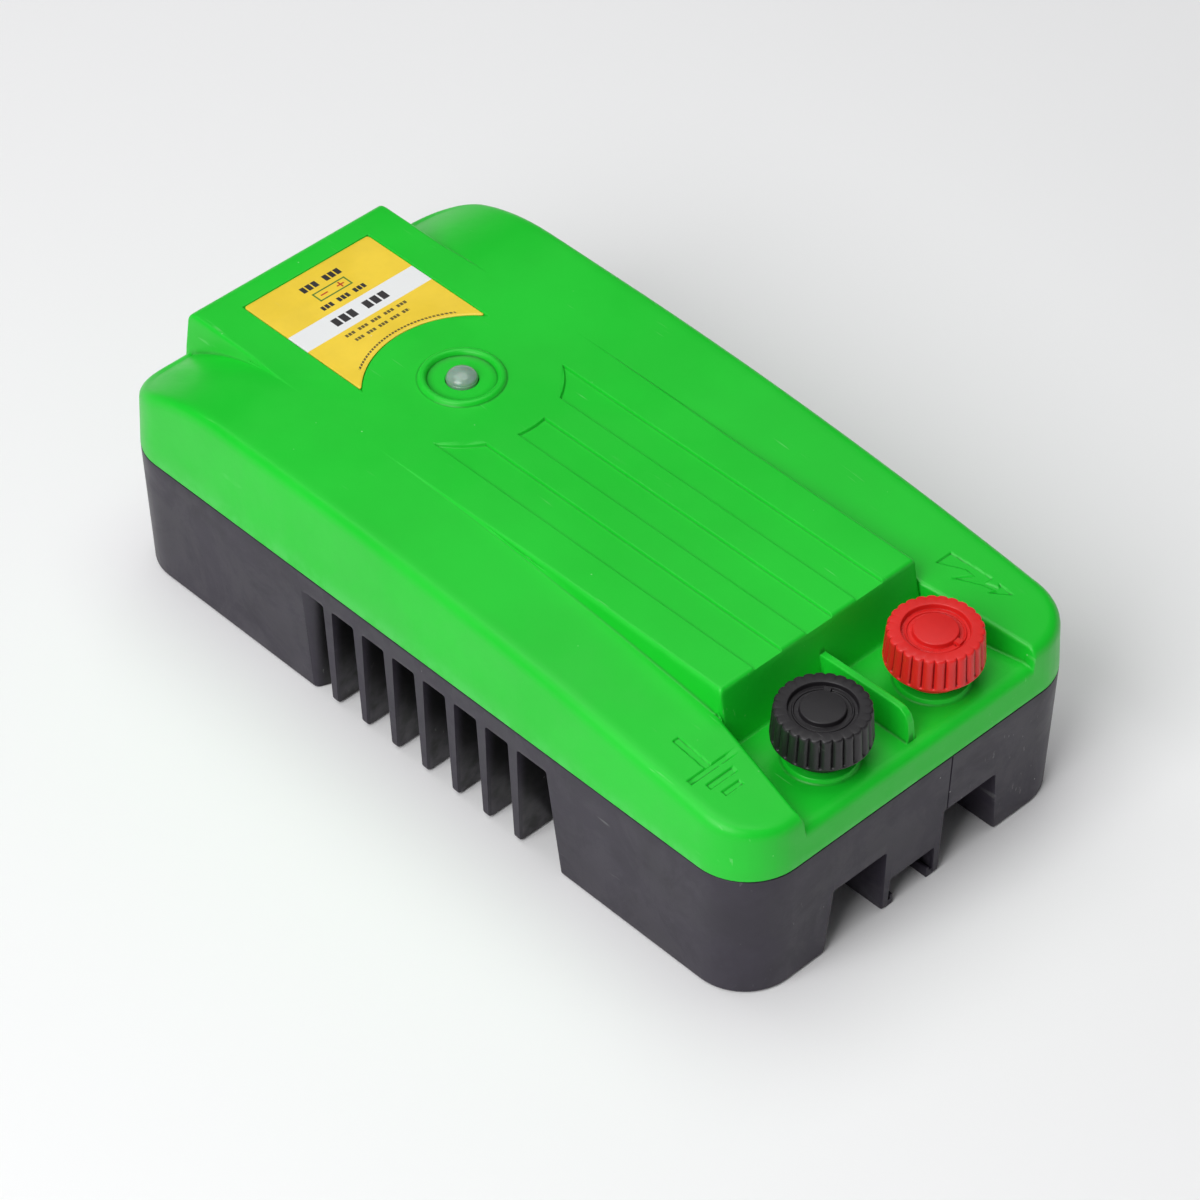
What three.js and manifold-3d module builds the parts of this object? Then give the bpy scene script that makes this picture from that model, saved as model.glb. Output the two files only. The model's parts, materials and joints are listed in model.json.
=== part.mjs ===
// Battery fence energizer: a ribbed base tub, an arched cover with a raised centre strip, and
// two screw terminals.
// Millimetres. X is the width, Y the length with the terminals at the low end, Z is up from the feet.
import * as THREE from "three";
import { mergeVertices } from "three/addons/utils/BufferGeometryUtils.js";
import Module from "manifold-3d";

const wasm = await Module();
wasm.setup();

// Casing
const caseWidth = 128.4;
const caseLength = 250;
const cornerRadius = 17.5;
const splitHeight = 43.2; // the cover meets the base here
const gap = 0.3; // between pieces that touch on the real object
const baseDraft = 1.5 / 43.2; // inward lean of the base walls, per millimetre down
const coverDraft = 0.045; // inward lean of the cover skirt, per millimetre up
const baseWall = 3.6;
const coverWall = 2.6;
const baseTop = splitHeight - gap / 2;
const coverBottom = splitHeight + gap / 2;

// Underside of the base
const floorThick = 3;
const wellInner = 10.8; // two open wells run along the underside
const wellOuter = 32;
const wellHeight = 22.3;
const wellEnd = 90;
const railInner = 8.6; // a channel between them takes a slide-on bracket
const railThroat = 6.5;
const railLip = 2.2;
const hookThick = 0.9; // the upturned edge of each rail
const railCeiling = 10.1;
const recessWall = 50; // the ribbed recess in each long side: its inner wall, measured from the middle
const recessTop = 36;
const recessFront = -51;
const recessRear = 42;
const ribCount = 7;
const ribPitch = 12.25;
const ribRear = 35.6;
const ribThick = 2.2;
const ribFoot = 0.4;

// Cover
const topHeight = 72.5;
const stripHalf = 36.3;
const stripFront = -87;
const stripRear = 122.4;
const pocketFloor = 54;
const pocketHalf = 37; // half its width at the rear
const pocketFlare = 0.19; // the pocket widens towards the front by this much per millimetre
const channelDepth = 0.8; // of the shallow channels and of the label recess
const channelFront = -95;
const labelHalf = 23.2;
const labelRear = 114.8;
const labelArc = 31; // radius of its hollow front edge, about a point 5 mm in front of the lamp
const ledY = 50;
const ledHole = 4.8;
const ringInner = 9.6; // the raised ring round the lamp
const ringOuter = 12.4;

// Terminals, M6
const terminalX = 21;
const terminalY = -108.6;
const studRadius = 3;
const bossRadius = 10.2;
const bossHeight = 55.6;
const washerBottom = 55.9;
const washerThick = 1.2;
const washerRadius = 8;
const neckBottom = 57.4;
const neckRadius = 9.4;
const rimBottom = 62;
const rimRadius = 13.8;
const gripRadius = 13.1;
const crownRadius = 12.9;
const knobTop = 72;
const fluteCount = 26;
const fluteDepth = 0.8;
const insertRadius = 5;
const insertTop = 69.9;

// Fixings
const screwX = 50;
const screwY = 105;
const headSeat = 32.8; // depth of the counterbores under the cover screws
const postX = 24;
const postY = 78;
const boardBottom = 30;
const boardTop = 31.6;
const onBoard = boardTop + gap;

// Supply socket, transformer and fuse
const inletX = -30;
const inletZ = 29;
const coreY = -42;
const fuseY = 64;
const fuseZ = onBoard + 5.2;
const fuseRadius = 2.6;

const Y = new THREE.Vector3(0, 1, 0);
const Z = new THREE.Vector3(0, 0, 1);
const X = new THREE.Vector3(1, 0, 0);

// ---- solids

function solid(geometry) {
  const bare = geometry.index ? geometry.toNonIndexed() : geometry.clone();
  bare.deleteAttribute("normal");
  bare.deleteAttribute("uv");
  const merged = mergeVertices(bare, 1e-4);
  return new wasm.Manifold(
    new wasm.Mesh({
      numProp: 3,
      vertProperties: merged.attributes.position.array,
      triVerts: new Uint32Array(merged.index.array),
    }),
  );
}

function join(first, ...rest) {
  return rest.reduce((sum, piece) => sum.add(piece), first);
}

function cut(first, ...tools) {
  return tools.reduce((left, tool) => left.subtract(tool), first);
}

function box(x0, x1, y0, y1, z0, z1) {
  const geometry = new THREE.BoxGeometry(x1 - x0, y1 - y0, z1 - z0);
  return solid(geometry.translate((x0 + x1) / 2, (y0 + y1) / 2, (z0 + z1) / 2));
}

// The same box on both sides of X = 0.
function boxPair(x0, x1, y0, y1, z0, z1) {
  return join(box(x0, x1, y0, y1, z0, z1), box(-x1, -x0, y0, y1, z0, z1));
}

// An upright rod; top is its radius at the upper end.
function rod(radius, z0, z1, x = 0, y = 0, sides = 24, top = radius) {
  const geometry = new THREE.CylinderGeometry(top, radius, z1 - z0, sides);
  return solid(geometry.rotateX(Math.PI / 2).translate(x, y, (z0 + z1) / 2));
}

// A rod along Y.
function rodY(radius, y0, y1, x, z, sides = 24) {
  const geometry = new THREE.CylinderGeometry(radius, radius, y1 - y0, sides);
  return solid(geometry.translate(x, (y0 + y1) / 2, z));
}

// A rod along X.
function rodX(radius, x0, x1, y, z, sides = 16) {
  const geometry = new THREE.CylinderGeometry(radius, radius, x1 - x0, sides);
  return solid(geometry.rotateZ(Math.PI / 2).translate((x0 + x1) / 2, y, z));
}

function outline(points) {
  return new THREE.Shape(points.map(([a, b]) => new THREE.Vector2(a, b)));
}

// A plan shape raised from z0 to z1.
function upright(shape, z0, z1, steps = 4) {
  const options = { depth: z1 - z0, bevelEnabled: false, curveSegments: steps };
  return solid(new THREE.ExtrudeGeometry(shape, options).translate(0, 0, z0));
}

// A side shape, drawn in Y and Z, carried along X.
function alongX(shape, x0, x1) {
  const geometry = new THREE.ExtrudeGeometry(shape, { depth: x1 - x0, bevelEnabled: false });
  geometry.translate(0, 0, x0);
  return solid(geometry.applyMatrix4(new THREE.Matrix4().makeBasis(Y, Z, X)));
}

// An end shape, drawn in X and Z, carried along Y.
function alongY(shape, y0, y1) {
  const geometry = new THREE.ExtrudeGeometry(shape, { depth: y1 - y0, bevelEnabled: false });
  geometry.translate(0, 0, -y1);
  return solid(geometry.applyMatrix4(new THREE.Matrix4().makeBasis(X, Z, Y.clone().negate())));
}

// A turned piece: its profile is a list of [radius, z] that starts and ends on the axis, low end first.
function turned(profile, x, y, sides = 28) {
  const points = profile.map(([r, z]) => new THREE.Vector2(r, z));
  const geometry = new THREE.LatheGeometry(points, sides);
  return solid(geometry.rotateX(Math.PI / 2).translate(x, y, 0));
}

// A round lead along a smooth curve.
function lead(points, radius, steps = 12) {
  const path = new THREE.CatmullRomCurve3(points.map((p) => new THREE.Vector3(...p)));
  const section = new THREE.Shape().absarc(0, 0, radius, 0, 2 * Math.PI);
  const options = { steps, extrudePath: path, curveSegments: 4, bevelEnabled: false };
  return solid(new THREE.ExtrudeGeometry(section, options));
}

function roundedRectangle(halfX, halfY, radius) {
  const shape = new THREE.Shape();
  const corners = [[1, 1], [-1, 1], [-1, -1], [1, -1]];
  corners.forEach(([sx, sy], turn) => {
    const start = (turn * Math.PI) / 2;
    shape.absarc(sx * (halfX - radius), sy * (halfY - radius), radius, start, start + Math.PI / 2);
  });
  return shape;
}

// The casing's block between two heights, inset from its outer face. Its walls lean in by draft per
// millimetre away from the split, and the corners keep their radius.
function caseBlock(inset, z0, z1, draft) {
  const shape = roundedRectangle(caseWidth / 2 - inset, caseLength / 2 - inset, cornerRadius - inset);
  const options = { depth: z1 - z0, bevelEnabled: false, curveSegments: 4 };
  const geometry = new THREE.ExtrudeGeometry(shape, options);
  geometry.translate(0, 0, z0);
  const place = geometry.attributes.position;
  for (let i = 0; i < place.count; i++) {
    const lean = draft * (place.getZ(i) - splitHeight);
    place.setX(i, place.getX(i) - Math.sign(place.getX(i)) * lean);
    place.setY(i, place.getY(i) - Math.sign(place.getY(i)) * lean);
  }
  return solid(geometry);
}

function fourCorners(x, y) {
  return [
    [-x, -y],
    [x, -y],
    [-x, y],
    [x, y],
  ];
}

// ---- base

// Made once for the right side and once for the left.
function bothSides(make) {
  return join(make(1), make(-1));
}

function rib(sign, y) {
  const root = recessWall - 1;
  const section = [
    [root, recessTop + 1],
    [root, ribFoot],
    [61, ribFoot],
    [62.3, 2.6],
    [63.6, recessTop + 1],
  ];
  const shape = outline(section.map(([x, z]) => [sign * x, z]));
  return alongY(shape, y - ribThick / 2, y + ribThick / 2);
}

function baseTub() {
  const outer = caseBlock(0, 0, baseTop, -baseDraft);
  const t = floorThick;
  const centreFloor = box(-wellOuter - t, wellOuter + t, -130, wellEnd + t, -1, wellHeight + t);
  const behindRecess = boxPair(recessWall - t, 70, recessFront - 6, recessRear + t, -1, recessTop + t);
  const railHollow = box(t - wellInner, wellInner - t, -121, wellEnd - 1, railCeiling + t, 27);
  const hollow = join(cut(caseBlock(baseWall, t, 50, -baseDraft), centreFloor, behindRecess), railHollow);
  const recess = bothSides((sign) => {
    const shape = outline([
      [recessFront - 4, -1],
      [recessRear, -1],
      [recessRear, recessTop],
      [recessFront, recessTop],
    ]);
    return alongX(shape, sign > 0 ? recessWall : -70, sign > 0 ? 70 : -recessWall);
  });
  const wells = boxPair(wellInner, wellOuter, -130, wellEnd, -1, wellHeight);
  const channel = join(
    box(-railInner, railInner, -130, wellEnd, railLip, railCeiling),
    box(-railThroat, railThroat, -130, wellEnd, -1, railLip + 1),
  );
  const groove = cut(caseBlock(1.1, 41.4, 50, -baseDraft), caseBlock(2.6, 41, 51, -baseDraft));
  let tub = cut(outer, hollow, recess, wells, channel, groove);
  for (const sign of [1, -1]) {
    for (let i = 0; i < ribCount; i++) {
      tub = join(tub, rib(sign, ribRear - i * ribPitch));
    }
    const hookFrom = sign > 0 ? railThroat : -railThroat - hookThick;
    tub = join(tub, box(hookFrom, hookFrom + hookThick, -124, wellEnd + 1, railLip - 0.5, railLip + 1.4));
    for (const y of [-screwY, screwY]) {
      const x = sign * screwX;
      tub = join(tub, rod(7, t - 1, baseTop, x, y));
      tub = cut(tub, rod(4.5, -1, headSeat, x, y), rod(2.2, 30, 50, x, y, 16));
    }
    for (const y of [-postY, postY]) {
      tub = join(tub, rod(4, wellHeight + 1, boardBottom - gap, sign * postX, y, 20));
      tub = cut(tub, rod(1.5, wellHeight + 3.2, 40, sign * postX, y, 12));
    }
  }
  tub = join(tub, rodY(12, 118.9, 123, inletX, inletZ));
  return cut(tub, rodY(9, 122.5, 130, inletX, inletZ), rodY(6.3, 110, 130, inletX, inletZ));
}

// ---- cover

// Height of the arched deck beside the strip: it falls in a shallow curve to the front and rolls
// down at the rear.
function deckHeight(y) {
  if (y < 50) return topHeight - (50 - y) ** 2 / 2300;
  if (y < 80) return topHeight;
  return topHeight - 72 + Math.sqrt(72 ** 2 - (y - 80) ** 2);
}

function deckBlock(drop) {
  const points = [[-130, 30]];
  for (let y = -130; y < 50; y += 15) {
    points.push([y, deckHeight(y) - drop]);
  }
  for (const y of [50, 80, 90, 100, 108, 115, 121, 126, 130]) {
    points.push([y, deckHeight(y) - drop]);
  }
  points.push([130, 30]);
  return alongX(outline(points), -80, 80);
}

function stripBlock(inset) {
  const high = topHeight - inset;
  const front = stripFront + inset;
  const rear = stripRear - inset;
  const half = stripHalf - inset;
  const profile = outline([[front - 5, 30], [rear, 30], [rear, high], [front, high]]);
  const section = outline([[-half - 3.4, 30], [half + 3.4, 30], [half, high], [-half, high]]);
  return alongX(profile, -60, 60).intersect(alongY(section, -130, 130));
}

// The open pocket round the terminals, grown by margin on its closed sides.
function pocketBlock(margin) {
  const floor = pocketFloor - margin;
  const profile = outline([
    [-90 + margin, floor],
    [stripFront + margin, topHeight + 1],
    [stripFront + margin, 90],
    [-140, 90],
    [-140, floor],
  ]);
  const near = pocketHalf + margin;
  const far = near + pocketFlare * 51;
  const half = [
    [far, -140],
    [near, -89],
    [near, -80],
  ];
  const plan = outline([...half, ...half.map(([x, y]) => [-x, y]).reverse()]);
  return alongX(profile, -60, 60).intersect(upright(plan, floor, 90));
}

function divider() {
  const shape = outline([
    [-86.5, pocketFloor - 1],
    [-86.5, 63.3],
    [-114.5, 64],
    [-117.4, 63.8],
    [-119.5, 62.6],
    [-120.9, 60.4],
    [-121.5, 57],
    [-121.6, pocketFloor - 1],
  ]);
  return alongX(shape, -1.2, 1.2);
}

function labelShape(grow) {
  const half = labelHalf + grow;
  const arc = labelArc - grow;
  const angle = Math.acos(half / arc);
  const shape = new THREE.Shape();
  shape.moveTo(half, labelRear + grow);
  shape.lineTo(-half, labelRear + grow);
  shape.absarc(0, ledY - 5, arc, Math.PI - angle, angle, true);
  return shape;
}

// Section of the ring round the lamp: a low rounded crest.
function lampRing() {
  const root = topHeight - 0.5;
  return [
    [ringInner, root],
    [ringOuter, root],
    [ringOuter - 0.5, topHeight + 0.8],
    [(ringInner + ringOuter) / 2, topHeight + 1.2],
    [ringInner + 0.4, topHeight + 0.8],
    [ringInner, root],
  ];
}

function topCover() {
  const shell = join(caseBlock(0, coverBottom, 90, coverDraft).intersect(deckBlock(0)), stripBlock(0));
  const bounded = cut(shell, box(-90, 90, -140, 140, 0, coverBottom));
  const underDeck = caseBlock(coverWall, 30, 90, coverDraft).intersect(deckBlock(coverWall));
  const inside = join(underDeck, stripBlock(coverWall));
  let cover = cut(bounded, pocketBlock(0), cut(inside, pocketBlock(coverWall)));
  cover = join(cover, divider());
  for (const sign of [1, -1]) {
    cover = join(cover, rod(bossRadius, pocketFloor - 1, bossHeight, sign * terminalX, terminalY, 32));
    cover = cut(cover, rod(studRadius + gap, 40, 60, sign * terminalX, terminalY));
    for (const y of [-screwY, screwY]) {
      const x = sign * screwX;
      cover = join(cover, rod(5, coverBottom, 80, x, y, 20).intersect(deckBlock(1.2)));
      cover = cut(cover, rod(2.05, 40, 57.5, x, y, 12));
    }
  }
  const channelFloor = topHeight - channelDepth;
  const channels = join(
    box(-4.9, 4.9, channelFront, 60, channelFloor, 80),
    boxPair(13.8, 23.9, channelFront, 60, channelFloor, 80),
  );
  cover = cut(cover, cut(channels, rod(28.3, 60, 90, 0, ledY, 40)));
  cover = cut(cover, upright(labelShape(0.25), channelFloor, 80, 8));
  cover = join(cover, turned(lampRing(), 0, ledY, 40));
  return cut(cover, rod(ledHole, 60, 80, 0, ledY));
}

function gasket() {
  return cut(caseBlock(1.35, 41.7, 43.15, -baseDraft), caseBlock(2.35, 41, 44, -baseDraft));
}

function labelPlate() {
  return upright(labelShape(0), topHeight - 0.5, topHeight - 0.1, 8);
}

function ledLens() {
  const profile = [
    [0, 67.6],
    [6.2, 67.6],
    [6.2, 69.4],
    [4.5, 69.4],
    [4.4, 73.2],
    [3.9, 74.6],
    [2.4, 75.1],
    [0, 75.2],
  ];
  return turned(profile, 0, ledY);
}

// ---- terminals

function terminalStud(x) {
  return join(rod(studRadius, 38, 69.6, x, terminalY), rod(6, 48.9, 51.1, x, terminalY, 6));
}

function studNut(x) {
  return cut(rod(5.77, 42.5, 47, x, terminalY, 6), rod(studRadius + 0.1, 40, 50, x, terminalY));
}

function ringTerminal(x) {
  const tongue = box(x - 1.9, x + 1.9, terminalY + 3, terminalY + 14, 47.4, 48.5);
  const eye = join(rod(5.6, 47.4, 48.5, x, terminalY), tongue);
  return cut(eye, rod(studRadius + gap, 40, 60, x, terminalY));
}

function clampWasher(x) {
  const disc = rod(washerRadius, washerBottom, washerBottom + washerThick, x, terminalY, 32);
  return cut(disc, rod(studRadius + gap, 50, 60, x, terminalY));
}

// The knob's grip section: a ring of rounded flutes.
function fluted(radius, depth) {
  const points = [];
  for (let i = 0; i < fluteCount * 3; i++) {
    const angle = (i / (fluteCount * 3)) * 2 * Math.PI;
    const r = radius - (i % 3 === 2 ? depth : 0);
    points.push([r * Math.cos(angle), r * Math.sin(angle)]);
  }
  return outline(points);
}

function knob(x) {
  const section = fluted(gripRadius, fluteDepth);
  const grip = upright(section, rimBottom + 0.8, knobTop - 0.6).translate([x, terminalY, 0]);
  const skirt = rod(rimRadius, rimBottom, rimBottom + 1.2, x, terminalY, 26, rimRadius - 0.3);
  const neck = rod(neckRadius, neckBottom, rimBottom + 1, x, terminalY, 24);
  const crown = rod(crownRadius, knobTop - 0.8, knobTop, x, terminalY, 26, crownRadius - 0.4);
  const groove = cut(rod(9, knobTop - 1, knobTop + 1, x, terminalY), rod(6.6, 60, 80, x, terminalY));
  const bore = rod(insertRadius + gap, 50, insertTop + gap, x, terminalY);
  return cut(join(grip, skirt, neck, crown), groove, bore);
}

function knobInsert(x) {
  const sleeve = rod(insertRadius, neckBottom + gap, insertTop, x, terminalY);
  return cut(sleeve, rod(studRadius + 0.12, 50, 80, x, terminalY));
}

// ---- fixings and supply

function coverScrew(x, y) {
  const head = rod(3.9, headSeat - 2.7, headSeat - gap, x, y, 20);
  const slot = box(x - 3, x + 3, y - 0.5, y + 0.5, 20, headSeat - 1.7);
  return cut(join(head, rod(1.75, headSeat - 1, 56, x, y, 12)), slot);
}

function boardScrew(x, y) {
  return join(rod(3.2, onBoard, onBoard + 2, x, y, 16), rod(1.2, wellHeight + 4, onBoard + 1, x, y, 12));
}

function supplyInlet() {
  const body = join(rodY(8.6, 122.8, 124.2, inletX, inletZ), rodY(6, 108, 123, inletX, inletZ));
  return cut(body, rodY(3, 111.5, 130, inletX, inletZ, 20));
}

function inletNut() {
  return cut(rodY(9, 115, 118.6, inletX, inletZ, 6), rodY(6.2, 110, 120, inletX, inletZ));
}

function inletPin() {
  return rodY(1.05, 111.8, 121.5, inletX, inletZ, 12);
}

// ---- electronics

function circuitBoard() {
  let board = box(-44, 44, -84, 88, boardBottom, boardTop);
  for (const [x, y] of fourCorners(postX, postY)) {
    board = cut(board, rod(1.6, 20, 40, x, y, 12));
  }
  return board;
}

function transformerCore() {
  const stack = box(-22, 22, coreY - 8, coreY + 8, onBoard, onBoard + 36);
  return cut(stack, boxPair(7, 15, coreY - 20, coreY + 20, onBoard + 7, onBoard + 29));
}

function aroundLeg(halfX, halfY, z0, z1) {
  return box(-halfX, halfX, coreY - halfY, coreY + halfY, z0, z1);
}

function transformerBobbin() {
  const low = onBoard + 7 + gap;
  const high = onBoard + 29 - gap;
  const spool = join(
    aroundLeg(8.4, 9.4, low, high),
    aroundLeg(14.6, 15.6, low, low + 1.4),
    aroundLeg(14.6, 15.6, high - 1.4, high),
  );
  return cut(spool, aroundLeg(7.3, 8.3, 0, 90));
}

function transformerCoil() {
  const low = onBoard + 9;
  const high = onBoard + 27;
  return cut(aroundLeg(14, 15, low, high), aroundLeg(8.7, 9.7, 0, 90));
}

function storageCapacitor() {
  const shape = roundedRectangle(21, 15, 2.5);
  return upright(shape, onBoard, onBoard + 30, 2).translate([-19, -5, 0]);
}

function smoothingCapacitor() {
  const radius = 8;
  const top = onBoard + 28.7;
  const profile = [
    [0, onBoard],
    [radius, onBoard],
    [radius, onBoard + 1.6],
    [radius - 0.4, onBoard + 2.2],
    [radius, onBoard + 2.8],
    [radius, top - 0.6],
    [radius - 0.8, top],
    [0, top],
  ];
  return turned(profile, -26, 30, 24);
}

function converterCoil() {
  const flange = 10;
  const winding = 8.4;
  const profile = [
    [0, onBoard],
    [flange, onBoard],
    [flange, onBoard + 2],
    [winding, onBoard + 2],
    [winding, onBoard + 12],
    [flange, onBoard + 12],
    [flange, onBoard + 14],
    [0, onBoard + 14],
  ];
  return turned(profile, 22, 22, 24);
}

function thyristor() {
  const body = box(27, 37, -12.2, -7.8, onBoard + 6, onBoard + 15);
  const tab = box(27, 37, -7.9, -6.6, onBoard + 6, onBoard + 22);
  const legs = [29.5, 32, 34.5].map((x) => box(x - 0.4, x + 0.4, -10.4, -9.8, onBoard, onBoard + 6.5));
  return cut(join(body, tab, ...legs), rodY(1.7, -20, 0, 32, onBoard + 18.5, 12));
}

function heatSink() {
  const plate = box(14, 41, -6.2, -4, onBoard, onBoard + 26);
  const fins = [15, 20, 33, 38].map((x) => box(x, x + 1.6, -4.2, 4, onBoard, onBoard + 26));
  return cut(join(plate, ...fins), rodY(1.7, -20, 0, 32, onBoard + 18.5, 12));
}

function controlChip() {
  const body = box(14, 24, 44, 50.4, onBoard + 0.6, onBoard + 4);
  const legs = [];
  for (let i = 0; i < 4; i++) {
    const x = 15.2 + i * 2.54;
    legs.push(box(x - 0.3, x + 0.3, 43, 51.4, onBoard, onBoard + 1.6));
  }
  return join(body, ...legs);
}

function fuseTube() {
  return rodX(fuseRadius, -37, -17, fuseY, fuseZ);
}

function fuseClip(x) {
  const clip = box(x - 2.2, x + 2.2, fuseY - 4.2, fuseY + 4.2, onBoard, onBoard + 8.6);
  const seat = rodX(fuseRadius + 0.4, x - 9, x + 9, fuseY, fuseZ, 16);
  return cut(clip, seat, box(x - 9, x + 9, fuseY - 2, fuseY + 2, fuseZ, 99));
}

function resistor(y) {
  const body = rodX(1.7, 28, 37, y, onBoard + 2, 10);
  const wire = rodX(0.35, 26, 39, y, onBoard + 2.3, 6);
  const legs = [26, 38.3].map((x) => box(x, x + 0.7, y - 0.35, y + 0.35, onBoard, onBoard + 2.6));
  return join(body, wire, ...legs);
}

function supplyTerminal() {
  const block = box(3, 15, 70, 80, onBoard, onBoard + 10);
  return cut(block, rodY(1.9, 75, 90, 6, onBoard + 4, 12), rodY(1.9, 75, 90, 12, onBoard + 4, 12));
}

function ledHolder() {
  return cut(rod(4, onBoard, 59.7, 0, ledY, 16), rod(2.2, 20, 70, 0, ledY, 12));
}

function statusLed() {
  const profile = [
    [0, 60],
    [2.9, 60],
    [2.9, 61],
    [2.5, 61],
    [2.5, 64.5],
    [1.8, 66],
    [0, 66.6],
  ];
  return turned(profile, 0, ledY, 16);
}

function outputLead(sign) {
  const route = [
    [18, coreY - 17, 58],
    [19, -70, 52],
    [20, -84, 46],
    [terminalX, -96.5, 45.5],
    [terminalX, -102.5, 45.6],
  ];
  return lead(route.map(([x, y, z]) => [sign * x, y, z]), 1.3);
}

function supplyLead(sign) {
  const end = sign > 0 ? 6 : 12;
  const drop = sign > 0 ? 3.4 : -3.4;
  const exit = inletZ + drop;
  const route = [
    [inletX, 107.2, exit],
    [inletX, 104, exit],
    [-16, 98, 34 + drop],
    [-4, 94 - sign, 36 + drop],
    [end, 90, 37],
    [end, 81.5, onBoard + 4],
  ];
  return lead(route, 1.1, 16);
}

// ---- the assembly

function finish(colour, roughness, metalness = 0, opacity = 1) {
  return { color: colour, roughness, metalness, opacity, transparent: opacity < 1 };
}

const finishes = {
  coverGreen: finish(0x34c83c, 0.45),
  baseBlack: finish(0x3c3a3e, 0.55),
  knobBlack: finish(0x2c2a2d, 0.5),
  knobRed: finish(0xe0262a, 0.42),
  labelYellow: finish(0xffc32e, 0.4),
  lensGrey: finish(0x9db8a8, 0.25, 0, 0.8),
  sealBlack: finish(0x1b1b1c, 0.85),
  zincSteel: finish(0xb9bcc0, 0.35, 1),
  brass: finish(0xc8a24a, 0.35, 1),
  boardGreen: finish(0x1f6b3a, 0.5),
  coreSteel: finish(0x4a4c50, 0.5, 0.6),
  bobbinCream: finish(0xe6dcc4, 0.6),
  coilCopper: finish(0xa85a2a, 0.4, 0.8),
  capacitorBlue: finish(0x2f62b0, 0.45),
  canBlack: finish(0x26262e, 0.35),
  chipBlack: finish(0x202022, 0.6),
  aluminium: finish(0xc3c6ca, 0.4, 1),
  fuseGlass: finish(0xd7e2e2, 0.1, 0, 0.5),
  terminalGreen: finish(0x3f8f58, 0.5),
  resistorBlue: finish(0x7fb4cf, 0.5),
  ledRed: finish(0xd8504a, 0.2, 0, 0.8),
  leadRed: finish(0xb8262a, 0.6),
  leadBlack: finish(0x222224, 0.6),
};

const object = new THREE.Group();
object.name = "fence_energizer";

function place(parent, name, shape, finishName) {
  const made = shape.getMesh();
  const geometry = new THREE.BufferGeometry();
  geometry.setAttribute("position", new THREE.BufferAttribute(made.vertProperties, 3));
  geometry.setIndex(new THREE.BufferAttribute(made.triVerts, 1));
  geometry.computeVertexNormals();
  const mesh = new THREE.Mesh(geometry, new THREE.MeshStandardMaterial(finishes[finishName]));
  mesh.name = name;
  parent.add(mesh);
}

const casing = new THREE.Group();
const terminals = new THREE.Group();
const electronics = new THREE.Group();
object.add(casing, terminals, electronics);

place(casing, "base_tub", baseTub(), "baseBlack");
place(casing, "top_cover", topCover(), "coverGreen");
place(casing, "housing_gasket", gasket(), "sealBlack");
place(casing, "label_plate", labelPlate(), "labelYellow");
place(casing, "led_lens", ledLens(), "lensGrey");
fourCorners(screwX, screwY).forEach(([x, y], i) => {
  place(casing, `cover_screw_${i + 1}`, coverScrew(x, y), "zincSteel");
});
fourCorners(postX, postY).forEach(([x, y], i) => {
  place(electronics, `board_screw_${i + 1}`, boardScrew(x, y), "zincSteel");
});
place(casing, "supply_inlet", supplyInlet(), "canBlack");
place(casing, "supply_inlet_nut", inletNut(), "zincSteel");
place(casing, "supply_inlet_pin", inletPin(), "brass");

for (const [name, sign, colour] of [["earth", -1, "knobBlack"], ["fence", 1, "knobRed"]]) {
  const x = sign * terminalX;
  place(terminals, `terminal_stud_${name}`, terminalStud(x), "zincSteel");
  place(terminals, `stud_nut_${name}`, studNut(x), "zincSteel");
  place(terminals, `ring_terminal_${name}`, ringTerminal(x), "brass");
  place(terminals, `clamp_washer_${name}`, clampWasher(x), "zincSteel");
  place(terminals, `knob_${name}`, knob(x), colour);
  place(terminals, `knob_insert_${name}`, knobInsert(x), "brass");
  place(electronics, `output_lead_${name}`, outputLead(sign), sign > 0 ? "leadRed" : "leadBlack");
}

place(electronics, "circuit_board", circuitBoard(), "boardGreen");
place(electronics, "transformer_core", transformerCore(), "coreSteel");
place(electronics, "transformer_bobbin", transformerBobbin(), "bobbinCream");
place(electronics, "transformer_coil", transformerCoil(), "coilCopper");
place(electronics, "storage_capacitor", storageCapacitor(), "capacitorBlue");
place(electronics, "smoothing_capacitor", smoothingCapacitor(), "canBlack");
place(electronics, "converter_coil", converterCoil(), "coilCopper");
place(electronics, "thyristor", thyristor(), "chipBlack");
place(electronics, "heat_sink", heatSink(), "aluminium");
place(electronics, "control_chip", controlChip(), "chipBlack");
place(electronics, "fuse_tube", fuseTube(), "fuseGlass");
place(electronics, "fuse_clip_1", fuseClip(-35), "brass");
place(electronics, "fuse_clip_2", fuseClip(-19), "brass");
[38, 44, 50, 56].forEach((y, i) => place(electronics, `resistor_${i + 1}`, resistor(y), "resistorBlue"));
place(electronics, "supply_terminal", supplyTerminal(), "terminalGreen");
place(electronics, "led_holder", ledHolder(), "canBlack");
place(electronics, "status_led", statusLed(), "ledRed");
place(electronics, "supply_lead_plus", supplyLead(1), "leadRed");
place(electronics, "supply_lead_minus", supplyLead(-1), "leadBlack");

export default object;
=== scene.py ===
import json
import math

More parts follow.
